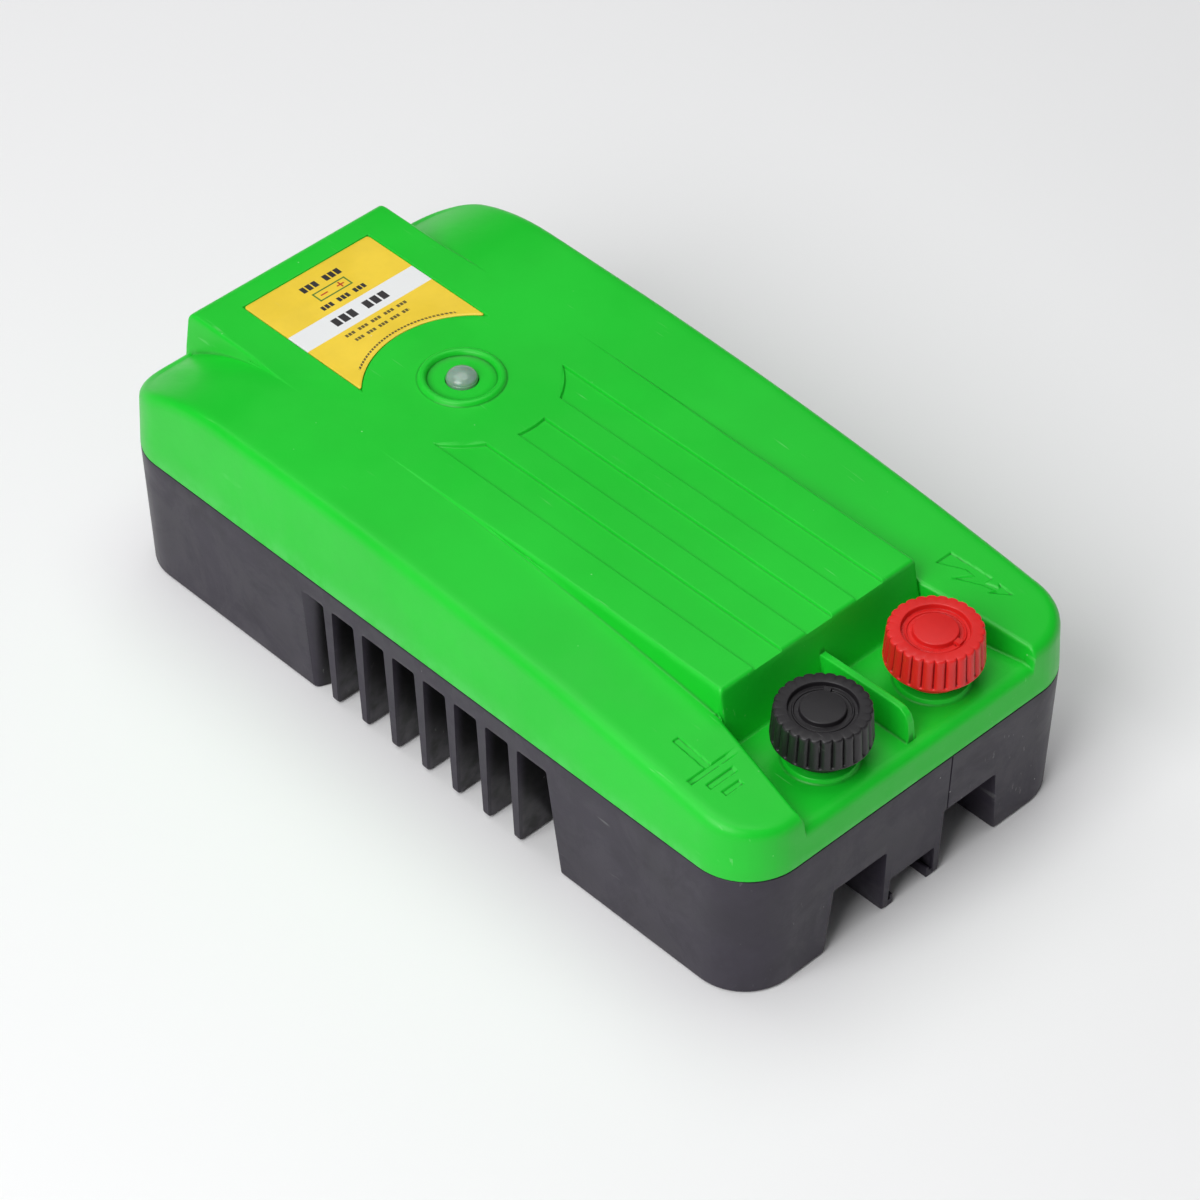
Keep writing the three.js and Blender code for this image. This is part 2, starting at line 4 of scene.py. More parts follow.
import bmesh
import bpy
import numpy as np
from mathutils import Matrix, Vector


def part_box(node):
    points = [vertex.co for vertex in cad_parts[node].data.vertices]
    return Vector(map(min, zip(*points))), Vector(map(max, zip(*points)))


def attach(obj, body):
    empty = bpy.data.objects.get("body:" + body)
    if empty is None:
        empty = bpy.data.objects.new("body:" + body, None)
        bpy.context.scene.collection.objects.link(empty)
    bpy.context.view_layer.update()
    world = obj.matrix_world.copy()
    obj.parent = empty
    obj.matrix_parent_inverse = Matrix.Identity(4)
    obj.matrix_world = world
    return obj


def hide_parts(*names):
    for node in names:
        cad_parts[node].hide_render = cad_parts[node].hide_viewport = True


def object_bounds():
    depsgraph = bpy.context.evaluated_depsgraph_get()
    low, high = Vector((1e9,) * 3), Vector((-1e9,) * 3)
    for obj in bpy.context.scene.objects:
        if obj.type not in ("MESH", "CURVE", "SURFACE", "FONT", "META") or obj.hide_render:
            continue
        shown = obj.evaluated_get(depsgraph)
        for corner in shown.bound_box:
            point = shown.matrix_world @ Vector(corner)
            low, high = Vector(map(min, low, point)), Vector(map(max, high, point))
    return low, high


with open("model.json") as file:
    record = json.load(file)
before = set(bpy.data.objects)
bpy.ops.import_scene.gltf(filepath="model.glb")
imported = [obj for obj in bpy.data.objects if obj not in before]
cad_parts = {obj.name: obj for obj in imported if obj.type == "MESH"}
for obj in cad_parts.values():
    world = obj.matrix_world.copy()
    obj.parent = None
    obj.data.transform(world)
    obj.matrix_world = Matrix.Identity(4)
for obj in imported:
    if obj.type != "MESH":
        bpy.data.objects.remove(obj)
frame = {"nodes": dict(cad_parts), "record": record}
cadLow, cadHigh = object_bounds()
millimetre = 0.001  # shapes are worked out in millimetres and made in metres


def nodeBox(name):  # lowest and highest corners of a CAD node, in millimetres
    low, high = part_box(name)
    return np.array(low) / millimetre, np.array(high) / millimetre


# the case outline that the cover and the base share
case = {
    "halfWidth": (cadHigh[0] - cadLow[0]) / 2 / millimetre,
    "halfLength": (cadHigh[1] - cadLow[1]) / 2 / millimetre,
    "cornerRadius": 17.5,
    "cornerSteps": 14,
    "browTurns": (18, 36, 54, 72, 90),  # degrees round each edge, a ring at each
    "lipTurns": (30, 60, 90),
    "split": (nodeBox("base_tub")[1][2] + nodeBox("top_cover")[0][2]) / 2,
    "lipGap": 0.15,  # each shell stops this far from the split
    "lipRound": 0.3,
}
cornerX = case["halfWidth"] - case["cornerRadius"]
cornerY = case["halfLength"] - case["cornerRadius"]


class Surface:  # gathers points and faces in millimetres until the piece is made
    def __init__(self):
        self.points = []
        self.quads = []
        self.triangles = []
        self.count = 0

    def add(self, x, y, z):
        x, y, z = np.broadcast_arrays(x, y, z)
        ids = np.arange(self.count, self.count + x.size).reshape(x.shape)
        self.points.append(np.stack([x.ravel(), y.ravel(), z.ravel()], axis=1))
        self.count += x.size
        return ids

    def grid(self, ids, keep=None):  # a face for each cell of a grid of points
        cells = np.stack([ids[:-1, :-1], ids[1:, :-1], ids[1:, 1:], ids[:-1, 1:]], axis=-1)
        self.quads.append(cells.reshape(-1, 4) if keep is None else cells[keep])

    def band(self, first, second):  # faces between two closed rows of points
        a, b = np.append(first, first[0]), np.append(second, second[0])
        self.quads.append(np.stack([a[:-1], a[1:], b[1:], b[:-1]], axis=1))

    def fan(self, row, tip):  # faces from a closed row of points to one point
        self.triangles.append(np.stack([row, np.roll(row, -1), np.full(len(row), tip)], axis=1))


def makePiece(name, surface, body, slotName, replaced=(), sharp=33):
    points = np.concatenate(surface.points) * millimetre
    quads = np.concatenate(surface.quads or [np.zeros((0, 4), int)])
    triangles = np.concatenate(surface.triangles or [np.zeros((0, 3), int)])
    corners = np.concatenate([quads.ravel(), triangles.ravel()]).astype(np.int32)
    sizes = np.concatenate([np.full(len(quads), 4), np.full(len(triangles), 3)])
    starts = np.concatenate([[0], np.cumsum(sizes)[:-1]]).astype(np.int32)
    mesh = bpy.data.meshes.new(name)
    mesh.vertices.add(len(points))
    mesh.vertices.foreach_set("co", points.ravel())
    mesh.loops.add(len(corners))
    mesh.loops.foreach_set("vertex_index", corners)
    mesh.polygons.add(len(sizes))
    mesh.polygons.foreach_set("loop_start", starts)
    mesh.update(calc_edges=True)
    work = bmesh.new()
    work.from_mesh(mesh)
    bmesh.ops.remove_doubles(work, verts=work.verts, dist=2e-6)
    bmesh.ops.dissolve_degenerate(work, edges=work.edges, dist=1e-7)
    bmesh.ops.recalc_face_normals(work, faces=work.faces)
    work.to_mesh(mesh)
    looseEdges = sum(1 for edge in work.edges if len(edge.link_faces) != 2)
    work.free()
    mesh.polygons.foreach_set("use_smooth", np.ones(len(mesh.polygons), bool))
    mesh.set_sharp_from_angle(angle=math.radians(sharp))
    piece = bpy.data.objects.new(name, mesh)
    bpy.context.collection.objects.link(piece)
    mesh.materials.append(materials[slotName])
    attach(piece, body)
    if replaced:
        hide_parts(*replaced)
    print(name, len(mesh.polygons), "faces", looseEdges, "loose edges")
    return piece


quarter = np.sin(np.radians([0, 30, 60, 90]))
bothWays = np.array([-1, 1])


def wallLines(at, facing, foot, brow, half):
    # grid lines across a wall: along its hollow foot, up its face and over its rounded brow. facing is 1
    # where the high side has the larger coordinate, and the face is two halves wide.
    past = 0.15  # one more line on each side, just past the rounds
    foot = -half - foot + foot * quarter
    brow = half + brow - brow * quarter
    return at + facing * np.concatenate([[foot[0] - past], foot, brow, [brow[0] + past]])


def spread(lines, widest):  # sorted grid lines, with more of them where two are far apart
    lines = np.unique(np.round(np.concatenate(lines), 3))
    lines = lines[np.concatenate([[True], np.diff(lines) > 0.03])]
    counts = np.ceil(np.diff(lines) / widest).astype(int)
    parts = [np.linspace(a, b, n, endpoint=False) for a, b, n in zip(lines, lines[1:], counts)]
    return np.append(np.concatenate(parts), lines[-1])


def roundStep(s, low, high, foot, brow, half):
    # height across a wall at s = 0: level, a hollow quarter round of radius foot, a straight face
    # two halves wide, a quarter round of radius brow, level. Both rounds shrink where the wall is low.
    rise = high - low
    fit = np.minimum(1, np.maximum(rise, 0) / (foot + brow)) + 1e-6
    foot, brow = foot * fit, brow * fit
    hollow = np.clip((s + half + foot) / foot, 0, 1)
    face = np.clip((s + half) / (2 * half), 0, 1)
    crown = np.clip((half + brow - s) / brow, 0, 1)
    curved = foot * (1 - np.sqrt(1 - hollow**2)) + brow * np.sqrt(1 - crown**2)
    return low + curved + (rise - foot - brow) * face


def hat(v, before, peak, after):  # 1 at the peak, falling evenly to 0 at before and after
    return np.clip(np.minimum((v - before) / (peak - before), (after - v) / (after - peak)), 0, 1)


def edgeLoop(grid):  # the outer values of a grid, once round
    return np.concatenate([grid[:-1, 0], grid[-1, :-1], grid[:0:-1, -1], grid[0, :0:-1]])


def cornerRows(radius):  # rows that follow a rounded corner
    return cornerY + radius * np.sin(np.linspace(0, math.pi / 2, case["cornerSteps"] + 1))


def roundedEnd(y, radius):  # half width of the outline at y
    over = np.clip(np.abs(y) - cornerY, 0, radius)
    return cornerX + np.sqrt(np.maximum(radius**2 - over**2, 0))


def patch(surface, loop, angles, profile, point):
    # fills the window inside a closed row of points with rings: point(radius, angles, level) places a ring
    last = loop
    for radius, level in profile:
        ring = surface.add(*point(radius, angles, level))
        surface.band(last, ring)
        last = ring
    centre = surface.add(*point(0, angles[:1], profile[-1][1]))
    surface.fan(last, centre[0])


def openWindows(surface, spec, across, along, ids, x, y, bend):
    # fills each round window in the face with its own rings, and returns the cells the grid keeps
    keep = np.ones((len(across) - 1, len(along) - 1), bool)
    for window in spec["windows"]:
        centreX, centreY = window["centre"]
        half = window["half"]
        i0, i1 = (int(np.argmin(abs(across - centreX - s * half))) for s in (-1, 1))
        j0, j1 = (int(np.argmin(abs(along - centreY - s * half))) for s in (-1, 1))
        keep[i0:i1, j0:j1] = False
        block = np.s_[i0:i1 + 1, j0:j1 + 1]
        angles = np.arctan2(edgeLoop(y[block]) - centreY, edgeLoop(x[block]) - centreX)
        patch(surface, edgeLoop(ids[block]), angles, window["profile"], lambda radius, angle, level: (
            centreX + radius * np.cos(angle),
            bend(centreX, centreY) + radius * np.sin(angle),
            level))
    return keep


def edgeRings(spec, x, y, r, facing):
    # distance outward and height of each ring: the rounded brow, the leaning wall, the lip
    brow = spec["brow"](x, y, r)
    inset, draft, lip = spec["inset"], spec["draft"], case["lipGap"]
    reach = inset - draft * (r - brow)
    rings = []
    for angle in np.radians(case["browTurns"]):
        rings.append((reach * np.sin(angle), r - brow * (1 - np.cos(angle))))
    foot = lip + case["lipRound"]
    for share in spec["wallShares"]:
        height = r - brow + (foot - r + brow) * share
        rings.append((inset - draft * height - spec["step"](x, facing), height))
    for angle in np.radians(case["lipTurns"]):
        back = case["lipRound"] * (1 - np.cos(angle))
        rings.append((inset - back, foot - case["lipRound"] * np.sin(angle)))
    rings.append((inset - spec["wall"], lip))
    return rings


def openWallWindows(surface, spec, rows, rings, x, facing):
    # the same for each round window in the rear wall
    keep = np.ones((rows.shape[0] - 1, rows.shape[1] - 1), bool)
    for window in spec["wallWindows"]:
        centreX, centreZ = window["centre"]
        half = window["half"]
        onRear = np.nonzero((facing > 0.999) & (abs(x - centreX) < half + 0.05))[0]
        k0, k1 = onRear.min(), onRear.max()
        heights = np.array([np.broadcast_to(height, x.shape)[k0] for _, height in rings])
        levels = case["split"] + spec["side"] * heights
        m0, m1 = sorted(int(np.argmin(abs(levels - centreZ - s * half))) + 1 for s in (-1, 1))
        keep[m0:m1, k0:k1] = False
        block = np.s_[m0:m1 + 1, k0:k1 + 1]
        spot = np.concatenate(surface.points)[edgeLoop(rows[block])]
        angles = np.arctan2(spot[:, 2] - centreZ, spot[:, 0] - centreX)

        def onWall(radius, angle, depth):
            z = centreZ + radius * np.sin(angle)
            wallY = case["halfLength"] - spec["draft"] * abs(z - case["split"])
            return centreX + radius * np.cos(angle), wallY - depth, z

        patch(surface, edgeLoop(rows[block]), angles, window["profile"], onWall)
    return keep


def closeInside(surface, spec, across, along, place, rise, put, lipRow):
    # a coarser copy of the face one wall thickness inside, joined to the lip
    step, wall = spec["insideStep"], spec["wall"]
    pickU = np.unique(np.append(np.arange(0, len(across), step), len(across) - 1))
    pickV = np.unique(np.append(np.arange(0, len(along), step), len(along) - 1))
    u, v = np.meshgrid(across[pickU], along[pickV], indexing="ij")
    x, y = place(u, v, wall - spec["inset"] + spec["insideLean"])
    around = [share * wall for share in (-1, -0.5, 0, 0.5, 1)]
    r = np.min([rise(x + dx, y + dy) for dx in around for dy in around], axis=0) - wall
    inside = put(x, y, np.maximum(r, case["lipGap"] + 0.5))
    surface.grid(inside)
    lastU, lastV = len(across) - 1, len(along) - 1
    stations = np.concatenate([
        pickU[:-1],
        lastU + pickV[:-1],
        lastU + lastV + lastU - pickU[:0:-1],
        2 * lastU + lastV + lastV - pickV[:0:-1],
    ])
    total = 2 * (lastU + lastV)
    middles = (stations + np.append(stations[1:], total)) / 2
    nearest = np.searchsorted(middles, np.arange(total + 1) + 0.01)
    inner = edgeLoop(inside)
    now, following = nearest[:-1], nearest[1:]
    ahead = np.roll(lipRow, -1)
    surface.triangles.append(np.stack([lipRow, ahead, inner[now % len(inner)]], axis=1))
    turn = following > now
    corner, beyond = inner[now[turn] % len(inner)], inner[(now[turn] + 1) % len(inner)]
    surface.triangles.append(np.stack([ahead[turn], beyond, corner], axis=1))


def makeShell(surface, spec, across, along, place, rise, bend=lambda x, y: y):
    # one half of the case. rise(x, y) is the height of its face above the split, place(u, v, shrink) puts
    # the grid inside the outline, and rings round its edge make the rounded brow, the leaning wall and
    # the lip. A coarser grid one wall thickness inside closes it.
    def put(x, y, r):
        return surface.add(x, bend(x, y), case["split"] + spec["side"] * r)

    u, v = np.meshgrid(across, along, indexing="ij")
    x, y = place(u, v, 0)
    r = rise(x, y)
    ids = put(x, y, r)
    surface.grid(ids, openWindows(surface, spec, across, along, ids, x, y, bend))

    loopX, loopY, loopR = edgeLoop(x), edgeLoop(y), edgeLoop(r)
    outX = loopX - np.clip(loopX, -cornerX, cornerX)
    outY = loopY - np.clip(loopY, -cornerY, cornerY)
    length = np.hypot(outX, outY)
    outX, outY = outX / length, outY / length
    rings = edgeRings(spec, loopX, loopY, loopR, outY)
    ringRows = [edgeLoop(ids)]
    for distance, height in rings:
        ringRows.append(put(loopX + outX * distance, loopY + outY * distance, height))
    rows = np.array(ringRows)
    rows = np.concatenate([rows, rows[:, :1]], axis=1)
    surface.grid(rows, openWallWindows(surface, spec, rows, rings, loopX, outY))
    closeInside(surface, spec, across, along, place, rise, put, ringRows[-1])


def roundedProfile(points, radii, steps=5):
    # a profile line with each corner replaced by a curve that starts and ends one radius from it
    points = np.array(points, float)
    out = [points[:1]]
    for before, corner, after, radius in zip(points, points[1:], points[2:], radii):
        t = np.linspace(0, 1, steps + 1)[:, None] if radius else np.zeros((1, 1))
        back, on = before - corner, after - corner
        start = corner + back * min(radius / (np.linalg.norm(back) + 1e-9), 0.5)
        end = corner + on * min(radius / (np.linalg.norm(on) + 1e-9), 0.5)
        out.append((1 - t)**2 * start + 2 * t * (1 - t) * corner + t**2 * end)
    out.append(points[-1:])
    return np.concatenate(out)


def turnedSurface(profile, sides, centre, axis=2, closed=False, wave=None):
    # a profile of radius and height carried round an axis; wave(angle, radius, height) changes the radius
    # and the height
    surface = Surface()
    angle, row = np.meshgrid(np.linspace(0, 2 * math.pi, sides, endpoint=False), np.arange(len(profile)))
    radius, height = profile[row, 0], profile[row, 1]
    if wave:
        radius, height = wave(angle, radius, height)
    a, b = radius * np.cos(angle), radius * np.sin(angle)
    if axis == 2:
        ids = surface.add(centre[0] + a, centre[1] + b, centre[2] + height)
    else:
        ids = surface.add(centre[0] + a, centre[1] + height, centre[2] + b)
    ids = np.concatenate([ids, ids[:, :1]], axis=1)
    if closed:
        ids = np.concatenate([ids, ids[:1]], axis=0)
    surface.grid(ids)
    return surface


def group(name, inputs, outputs):  # an empty shader group with named values in and out
    made = bpy.data.node_groups.new(name, "ShaderNodeTree")
    for label, value in inputs:
        socket = made.interface.new_socket(label, in_out="INPUT", socket_type="NodeSocketFloat")
        socket.default_value = value
    for label in outputs:
        made.interface.new_socket(label, in_out="OUTPUT", socket_type="NodeSocketFloat")
    return made, made.nodes.new("NodeGroupInput"), made.nodes.new("NodeGroupOutput")


def add(tree, kind, values=(), **settings):  # a node with its settings and its unlinked or linked inputs
    made = tree.nodes.new(kind)
    for key, value in settings.items():
        setattr(made, key, value)
    for key, value in dict(values).items():
        if isinstance(value, bpy.types.NodeSocket):
            tree.links.new(value, made.inputs[key])
        else:
            made.inputs[key].default_value = value
    return made


def mathNode(tree, operation, first, second=0.0, third=0.0, clamp=False):
    made = add(tree, "ShaderNodeMath", operation=operation, use_clamp=clamp)
    for socket, value in zip(made.inputs, (first, second, third)):
        if isinstance(value, bpy.types.NodeSocket):
            tree.links.new(value, socket)
        else:
            socket.default_value = value
    return made.outputs[0]


def remap(tree, value, low, high, toLow=0.0, toHigh=1.0):
    made = add(tree, "ShaderNodeMapRange", {0: value, 1: low, 2: high, 3: toLow, 4: toHigh})
    made.interpolation_type = "SMOOTHSTEP"
    return made.outputs[0]


def objectPlace(tree):  # where a point is on its piece, in metres
    return add(tree, "ShaderNodeTexCoord").outputs["Object"]


def placeParts(tree):  # the same, as X, Y and Z
    return add(tree, "ShaderNodeSeparateXYZ", {0: objectPlace(tree)}).outputs


def noise(tree, place, scale, detail, **more):
    values = {"Vector": place, "Scale": scale, "Detail": detail, **more}
    return add(tree, "ShaderNodeTexNoise", values).outputs[0]


def multiply(tree, first, *others):
    for other in others:
        first = mathNode(tree, "MULTIPLY", first, other)
    return first


grainLook = {
    "size": 0.0006,
    "patch": 0.02,
    "pebble": (3.0, 0.55),  # detail and roughness of the noise
    "shade": (4.0, 0.6),
    "gloss": (6.0, 0.7),
    "shadeRange": (0.3, 0.7),
    "glossRange": (0.35, 0.65),
}


def makeGrainGroup():  # moulded surface: fine pebble height, broad shade, and sheen in patches
    sockets = [("Size", grainLook["size"]), ("Patch", grainLook["patch"])]
    tree, inputs, outputs = group("mouldedGrain", sockets, ["Height", "Shade", "Gloss"])
    place = objectPlace(tree)
    fine = mathNode(tree, "DIVIDE", 1.0, inputs.outputs["Size"])
    broad = mathNode(tree, "DIVIDE", 1.0, inputs.outputs["Patch"])
    pebble = noise(tree, place, fine, grainLook["pebble"][0], Roughness=grainLook["pebble"][1])
    shade = noise(tree, place, broad, grainLook["shade"][0], Roughness=grainLook["shade"][1])
    detail, roughness = grainLook["gloss"]
    gloss = noise(tree, place, broad, detail, Roughness=roughness, Distortion=0.6)
    tree.links.new(pebble, outputs.inputs["Height"])
    tree.links.new(remap(tree, shade, *grainLook["shadeRange"]), outputs.inputs["Shade"])
    tree.links.new(remap(tree, gloss, *grainLook["glossRange"]), outputs.inputs["Gloss"])
    return tree


specksLook = {
    "spacing": 0.006,
    "amount": 0.3,
    "dot": (0.075, 0.045),  # a dot fades in between these shares of the spacing
    "raggedScale": 2500.0,
    "ragged": 0.05,
    "faintest": 0.25,
}


def makeSpeckGroup():  # sparse dust specks
    sockets = [("Spacing", specksLook["spacing"]), ("Amount", specksLook["amount"])]
    tree, inputs, outputs = group("dustSpecks", sockets, ["Mask"])
    place = objectPlace(tree)
    scale = mathNode(tree, "DIVIDE", 1.0, inputs.outputs["Spacing"])
    cells = add(tree, "ShaderNodeTexVoronoi", {"Vector": place, "Scale": scale, "Randomness": 1.0})
    ragged = multiply(tree, noise(tree, place, specksLook["raggedScale"], 2.0), specksLook["ragged"])
    distance = mathNode(tree, "ADD", cells.outputs["Distance"], ragged)
    dot = remap(tree, distance, *specksLook["dot"])
    parts = add(tree, "ShaderNodeSeparateColor", {0: cells.outputs["Color"]})
    chosen = mathNode(tree, "LESS_THAN", parts.outputs[0], inputs.outputs["Amount"])
    faint = remap(tree, parts.outputs[1], 0.0, 1.0, specksLook["faintest"], 1.0)
    tree.links.new(multiply(tree, dot, chosen, faint), outputs.inputs["Mask"])
    return tree


scuffsLook = {
    "amount": 0.4,
    "turn": (0.3, 0.5, 0.8),
    "stretch": (1.0, 0.06, 0.35),
    "hairScale": 900.0,
    "hairRange": (0.68, 0.74),
    "patchScale": 45.0,
    "patchRange": (0.52, 0.66),
}


def makeScuffGroup():  # short dull rubs and hairline scratches
    tree, inputs, outputs = group("scuffs", [("Amount", scuffsLook["amount"])], ["Mask"])
    place = objectPlace(tree)
    settings = {"Vector": place, "Rotation": scuffsLook["turn"], "Scale": scuffsLook["stretch"]}
    turned = add(tree, "ShaderNodeMapping", settings).outputs[0]
    lines = remap(tree, noise(tree, turned, scuffsLook["hairScale"], 2.0), *scuffsLook["hairRange"])
    where = remap(tree, noise(tree, place, scuffsLook["patchScale"], 3.0), *scuffsLook["patchRange"])
    mask = multiply(tree, lines, where, inputs.outputs["Amount"])
    tree.links.new(mask, outputs.inputs["Mask"])
    return tree


wearAndCreviceLook = {
    "amount": 0.5,
    "breakScale": 180.0,
    "breakRange": (0.35, 0.65),
    "edgeRange": (0.53, 0.62),  # pointiness of an outer edge
    "creviceRange": (0.492, 0.45),  # pointiness of an inner corner
}


def makeWearAndCreviceShadeGroup():  # paler, rubbed edges, and painted shade: the darker line in a tight inner corner
    tree, inputs, outputs = group("edgeWearAndCreviceShade", [("Amount", wearAndCreviceLook["amount"])], ["Mask", "PaintedCreviceShade"])
    point = add(tree, "ShaderNodeNewGeometry").outputs["Pointiness"]
    tree.links.new(remap(tree, point, *wearAndCreviceLook["creviceRange"]), outputs.inputs["PaintedCreviceShade"])
    edge = remap(tree, point, *wearAndCreviceLook["edgeRange"])
    patches = noise(tree, objectPlace(tree), wearAndCreviceLook["breakScale"], 4.0)
    broken = remap(tree, patches, *wearAndCreviceLook["breakRange"])
    mask = multiply(tree, edge, broken, inputs.outputs["Amount"])
    tree.links.new(mask, outputs.inputs["Mask"])
    return tree


effects = {
    "grain": makeGrainGroup(),
    "specks": makeSpeckGroup(),
    "scuffs": makeScuffGroup(),
    "wear": makeWearAndCreviceShadeGroup(),
}


def placeEffect(tree, key, values=()):
    made = add(tree, "ShaderNodeGroup", node_tree=effects[key])
    for name, value in dict(values).items():
        made.inputs[name].default_value = value
    return made.outputs


def linear(colour):  # a colour written as it looks on a screen, 0 to 255
    parts = [c / 255 for c in colour]
    return (*[c / 12.92 if c < 0.04045 else ((c + 0.055) / 1.055) ** 2.4 for c in parts], 1.0)


def blend(tree, factor, first, second):
    made = add(tree, "ShaderNodeMix", data_type="RGBA")
    for index, value in ((0, factor), (6, first), (7, second)):
        if isinstance(value, bpy.types.NodeSocket):
            tree.links.new(value, made.inputs[index])
        else:
            made.inputs[index].default_value = value
    return made.outputs[2]


def startMaterial(name, colour):
    made = bpy.data.materials.new(name)
    made.use_nodes = True
    made.diffuse_color = linear(colour)
    tree = made.node_tree
    return made, tree, tree.nodes["Principled BSDF"]


def setSurface(tree, shader, tint, rough, height, strength, distance):  # colour, roughness, fine relief
    settings = {"Strength": strength, "Distance": distance, "Height": height}
    relief = add(tree, "ShaderNodeBump", settings)
    tree.links.new(tint, shader.inputs["Base Color"])
    tree.links.new(rough, shader.inputs["Roughness"])
    tree.links.new(relief.outputs[0], shader.inputs["Normal"])


plasticLook = {
    "roughSpread": (-0.05, 0.06),
    "dustRoughness": 0.25,
    "creviceShade": 0.45,  # painted shade in a tight inner corner, as a share of the body colour
    "creviceAmount": 0.65,
    "rubbedLight": 0.25,
    "bumpDistance": 0.0004,
}


def moulded(name, colour, roughness, dust=(225, 228, 225), grain=0.0006, bump=0.05, shift=0.08, specks=0.25,
            scuffs=0.3, wear=0.4, metal=0.0, specular=0.5, patchSize=0.02, paint=None):
    # plastic, rubber, paint or metal with grain, uneven sheen, dust, scuffs, rubbed edges and painted shade
    # in tight inner corners
    made, tree, shader = startMaterial(name, colour)
    grainOut = placeEffect(tree, "grain", {"Size": grain, "Patch": patchSize})
    dark = linear([c * (1 - shift) for c in colour])
    pale = linear([min(255, c * (1 + shift) + 2) for c in colour])
    tint = blend(tree, grainOut["Shade"], dark, pale)
    if paint:
        tint = paint(tree, tint)
    marks = mathNode(tree, "MAXIMUM", placeEffect(tree, "specks", {"Amount": specks})["Mask"],
                     placeEffect(tree, "scuffs", {"Amount": scuffs})["Mask"])
    wearAndCreviceShade = placeEffect(tree, "wear", {"Amount": wear})
    # painted shade: tight inner corners are darkened to creviceShade of the body colour
    creviceShadeMask = multiply(tree, wearAndCreviceShade["PaintedCreviceShade"], plasticLook["creviceAmount"])
    tint = blend(tree, creviceShadeMask, tint, linear([c * plasticLook["creviceShade"] for c in colour]))
    rubbed = linear([c + (255 - c) * plasticLook["rubbedLight"] for c in colour])
    tint = blend(tree, wearAndCreviceShade["Mask"], tint, rubbed)
    tint = blend(tree, marks, tint, linear(dust))
    low, high = plasticLook["roughSpread"]
    rough = remap(tree, grainOut["Gloss"], 0.0, 1.0, roughness + low, roughness + high)
    dusty = multiply(tree, marks, plasticLook["dustRoughness"])
    rough = mathNode(tree, "ADD", rough, dusty, clamp=True)
    setSurface(tree, shader, tint, rough, grainOut["Height"], bump, plasticLook["bumpDistance"])
    shader.inputs["Metallic"].default_value = metal
    shader.inputs["Specular IOR Level"].default_value = specular
    return made


clearLook = {
    "grain": (0.0009, 0.004),
    "roughSpread": (-0.03, 0.05),
    "bump": (0.04, 0.0003),
    "facing": 0.35,
    "rimShadeRange": (0.35, 0.95),
    "rimShadeAmount": 0.6,
    "rimShade": 0.55,
    "shift": 0.93,
    "settings": {
        "Subsurface Weight": 0.2,
        "Subsurface Scale": 0.002,
        "Coat Weight": 0.4,
        "Coat Roughness": 0.12,
    },
}


def clearPlastic(name, colour, roughness, through):
    # translucent moulding: a tinted body that lets some light through, with painted shade that darkens it
    # round the rim as the surface turns from the view
    made, tree, shader = startMaterial(name, colour)
    size, patchSize = clearLook["grain"]
    grainOut = placeEffect(tree, "grain", {"Size": size, "Patch": patchSize})
    # painted shade: the colour darkens round the rim by the angle to the view
    edge = add(tree, "ShaderNodeLayerWeight", {"Blend": clearLook["facing"]}).outputs["Facing"]
    tint = blend(tree, grainOut["Shade"], linear([c * clearLook["shift"] for c in colour]), linear(colour))
    rim = remap(tree, edge, *clearLook["rimShadeRange"], 0.0, clearLook["rimShadeAmount"])
    tint = blend(tree, rim, tint, linear([c * clearLook["rimShade"] for c in colour]))
    low, high = clearLook["roughSpread"]
    rough = remap(tree, grainOut["Gloss"], 0.0, 1.0, roughness + low, roughness + high)
    setSurface(tree, shader, tint, rough, grainOut["Height"], *clearLook["bump"])
    shader.inputs["Transmission Weight"].default_value = through
    for socket, value in clearLook["settings"].items():
        shader.inputs[socket].default_value = value
    return made


def boxMask(tree, low, high, soft=0.08):  # 1 inside a rectangle in X and Y, in millimetres
    place = placeParts(tree)
    sides = []
    for axis in (0, 1):
        middle, half = (low[axis] + high[axis]) / 2, (high[axis] - low[axis]) / 2
        away = mathNode(tree, "ABSOLUTE", mathNode(tree, "SUBTRACT", place[axis], middle * millimetre))
        sides.append(remap(tree, away, (half + soft) * millimetre, (half - soft) * millimetre))
    return multiply(tree, *sides)


def dashes(tree, along, start, pitch, share):  # 1 over the first share of each pitch, in millimetres
    if start:
        along = mathNode(tree, "SUBTRACT", along, start * millimetre)
    gap = mathNode(tree, "FRACT", multiply(tree, along, 1 / (pitch * millimetre)))
    return mathNode(tree, "LESS_THAN", gap, share)


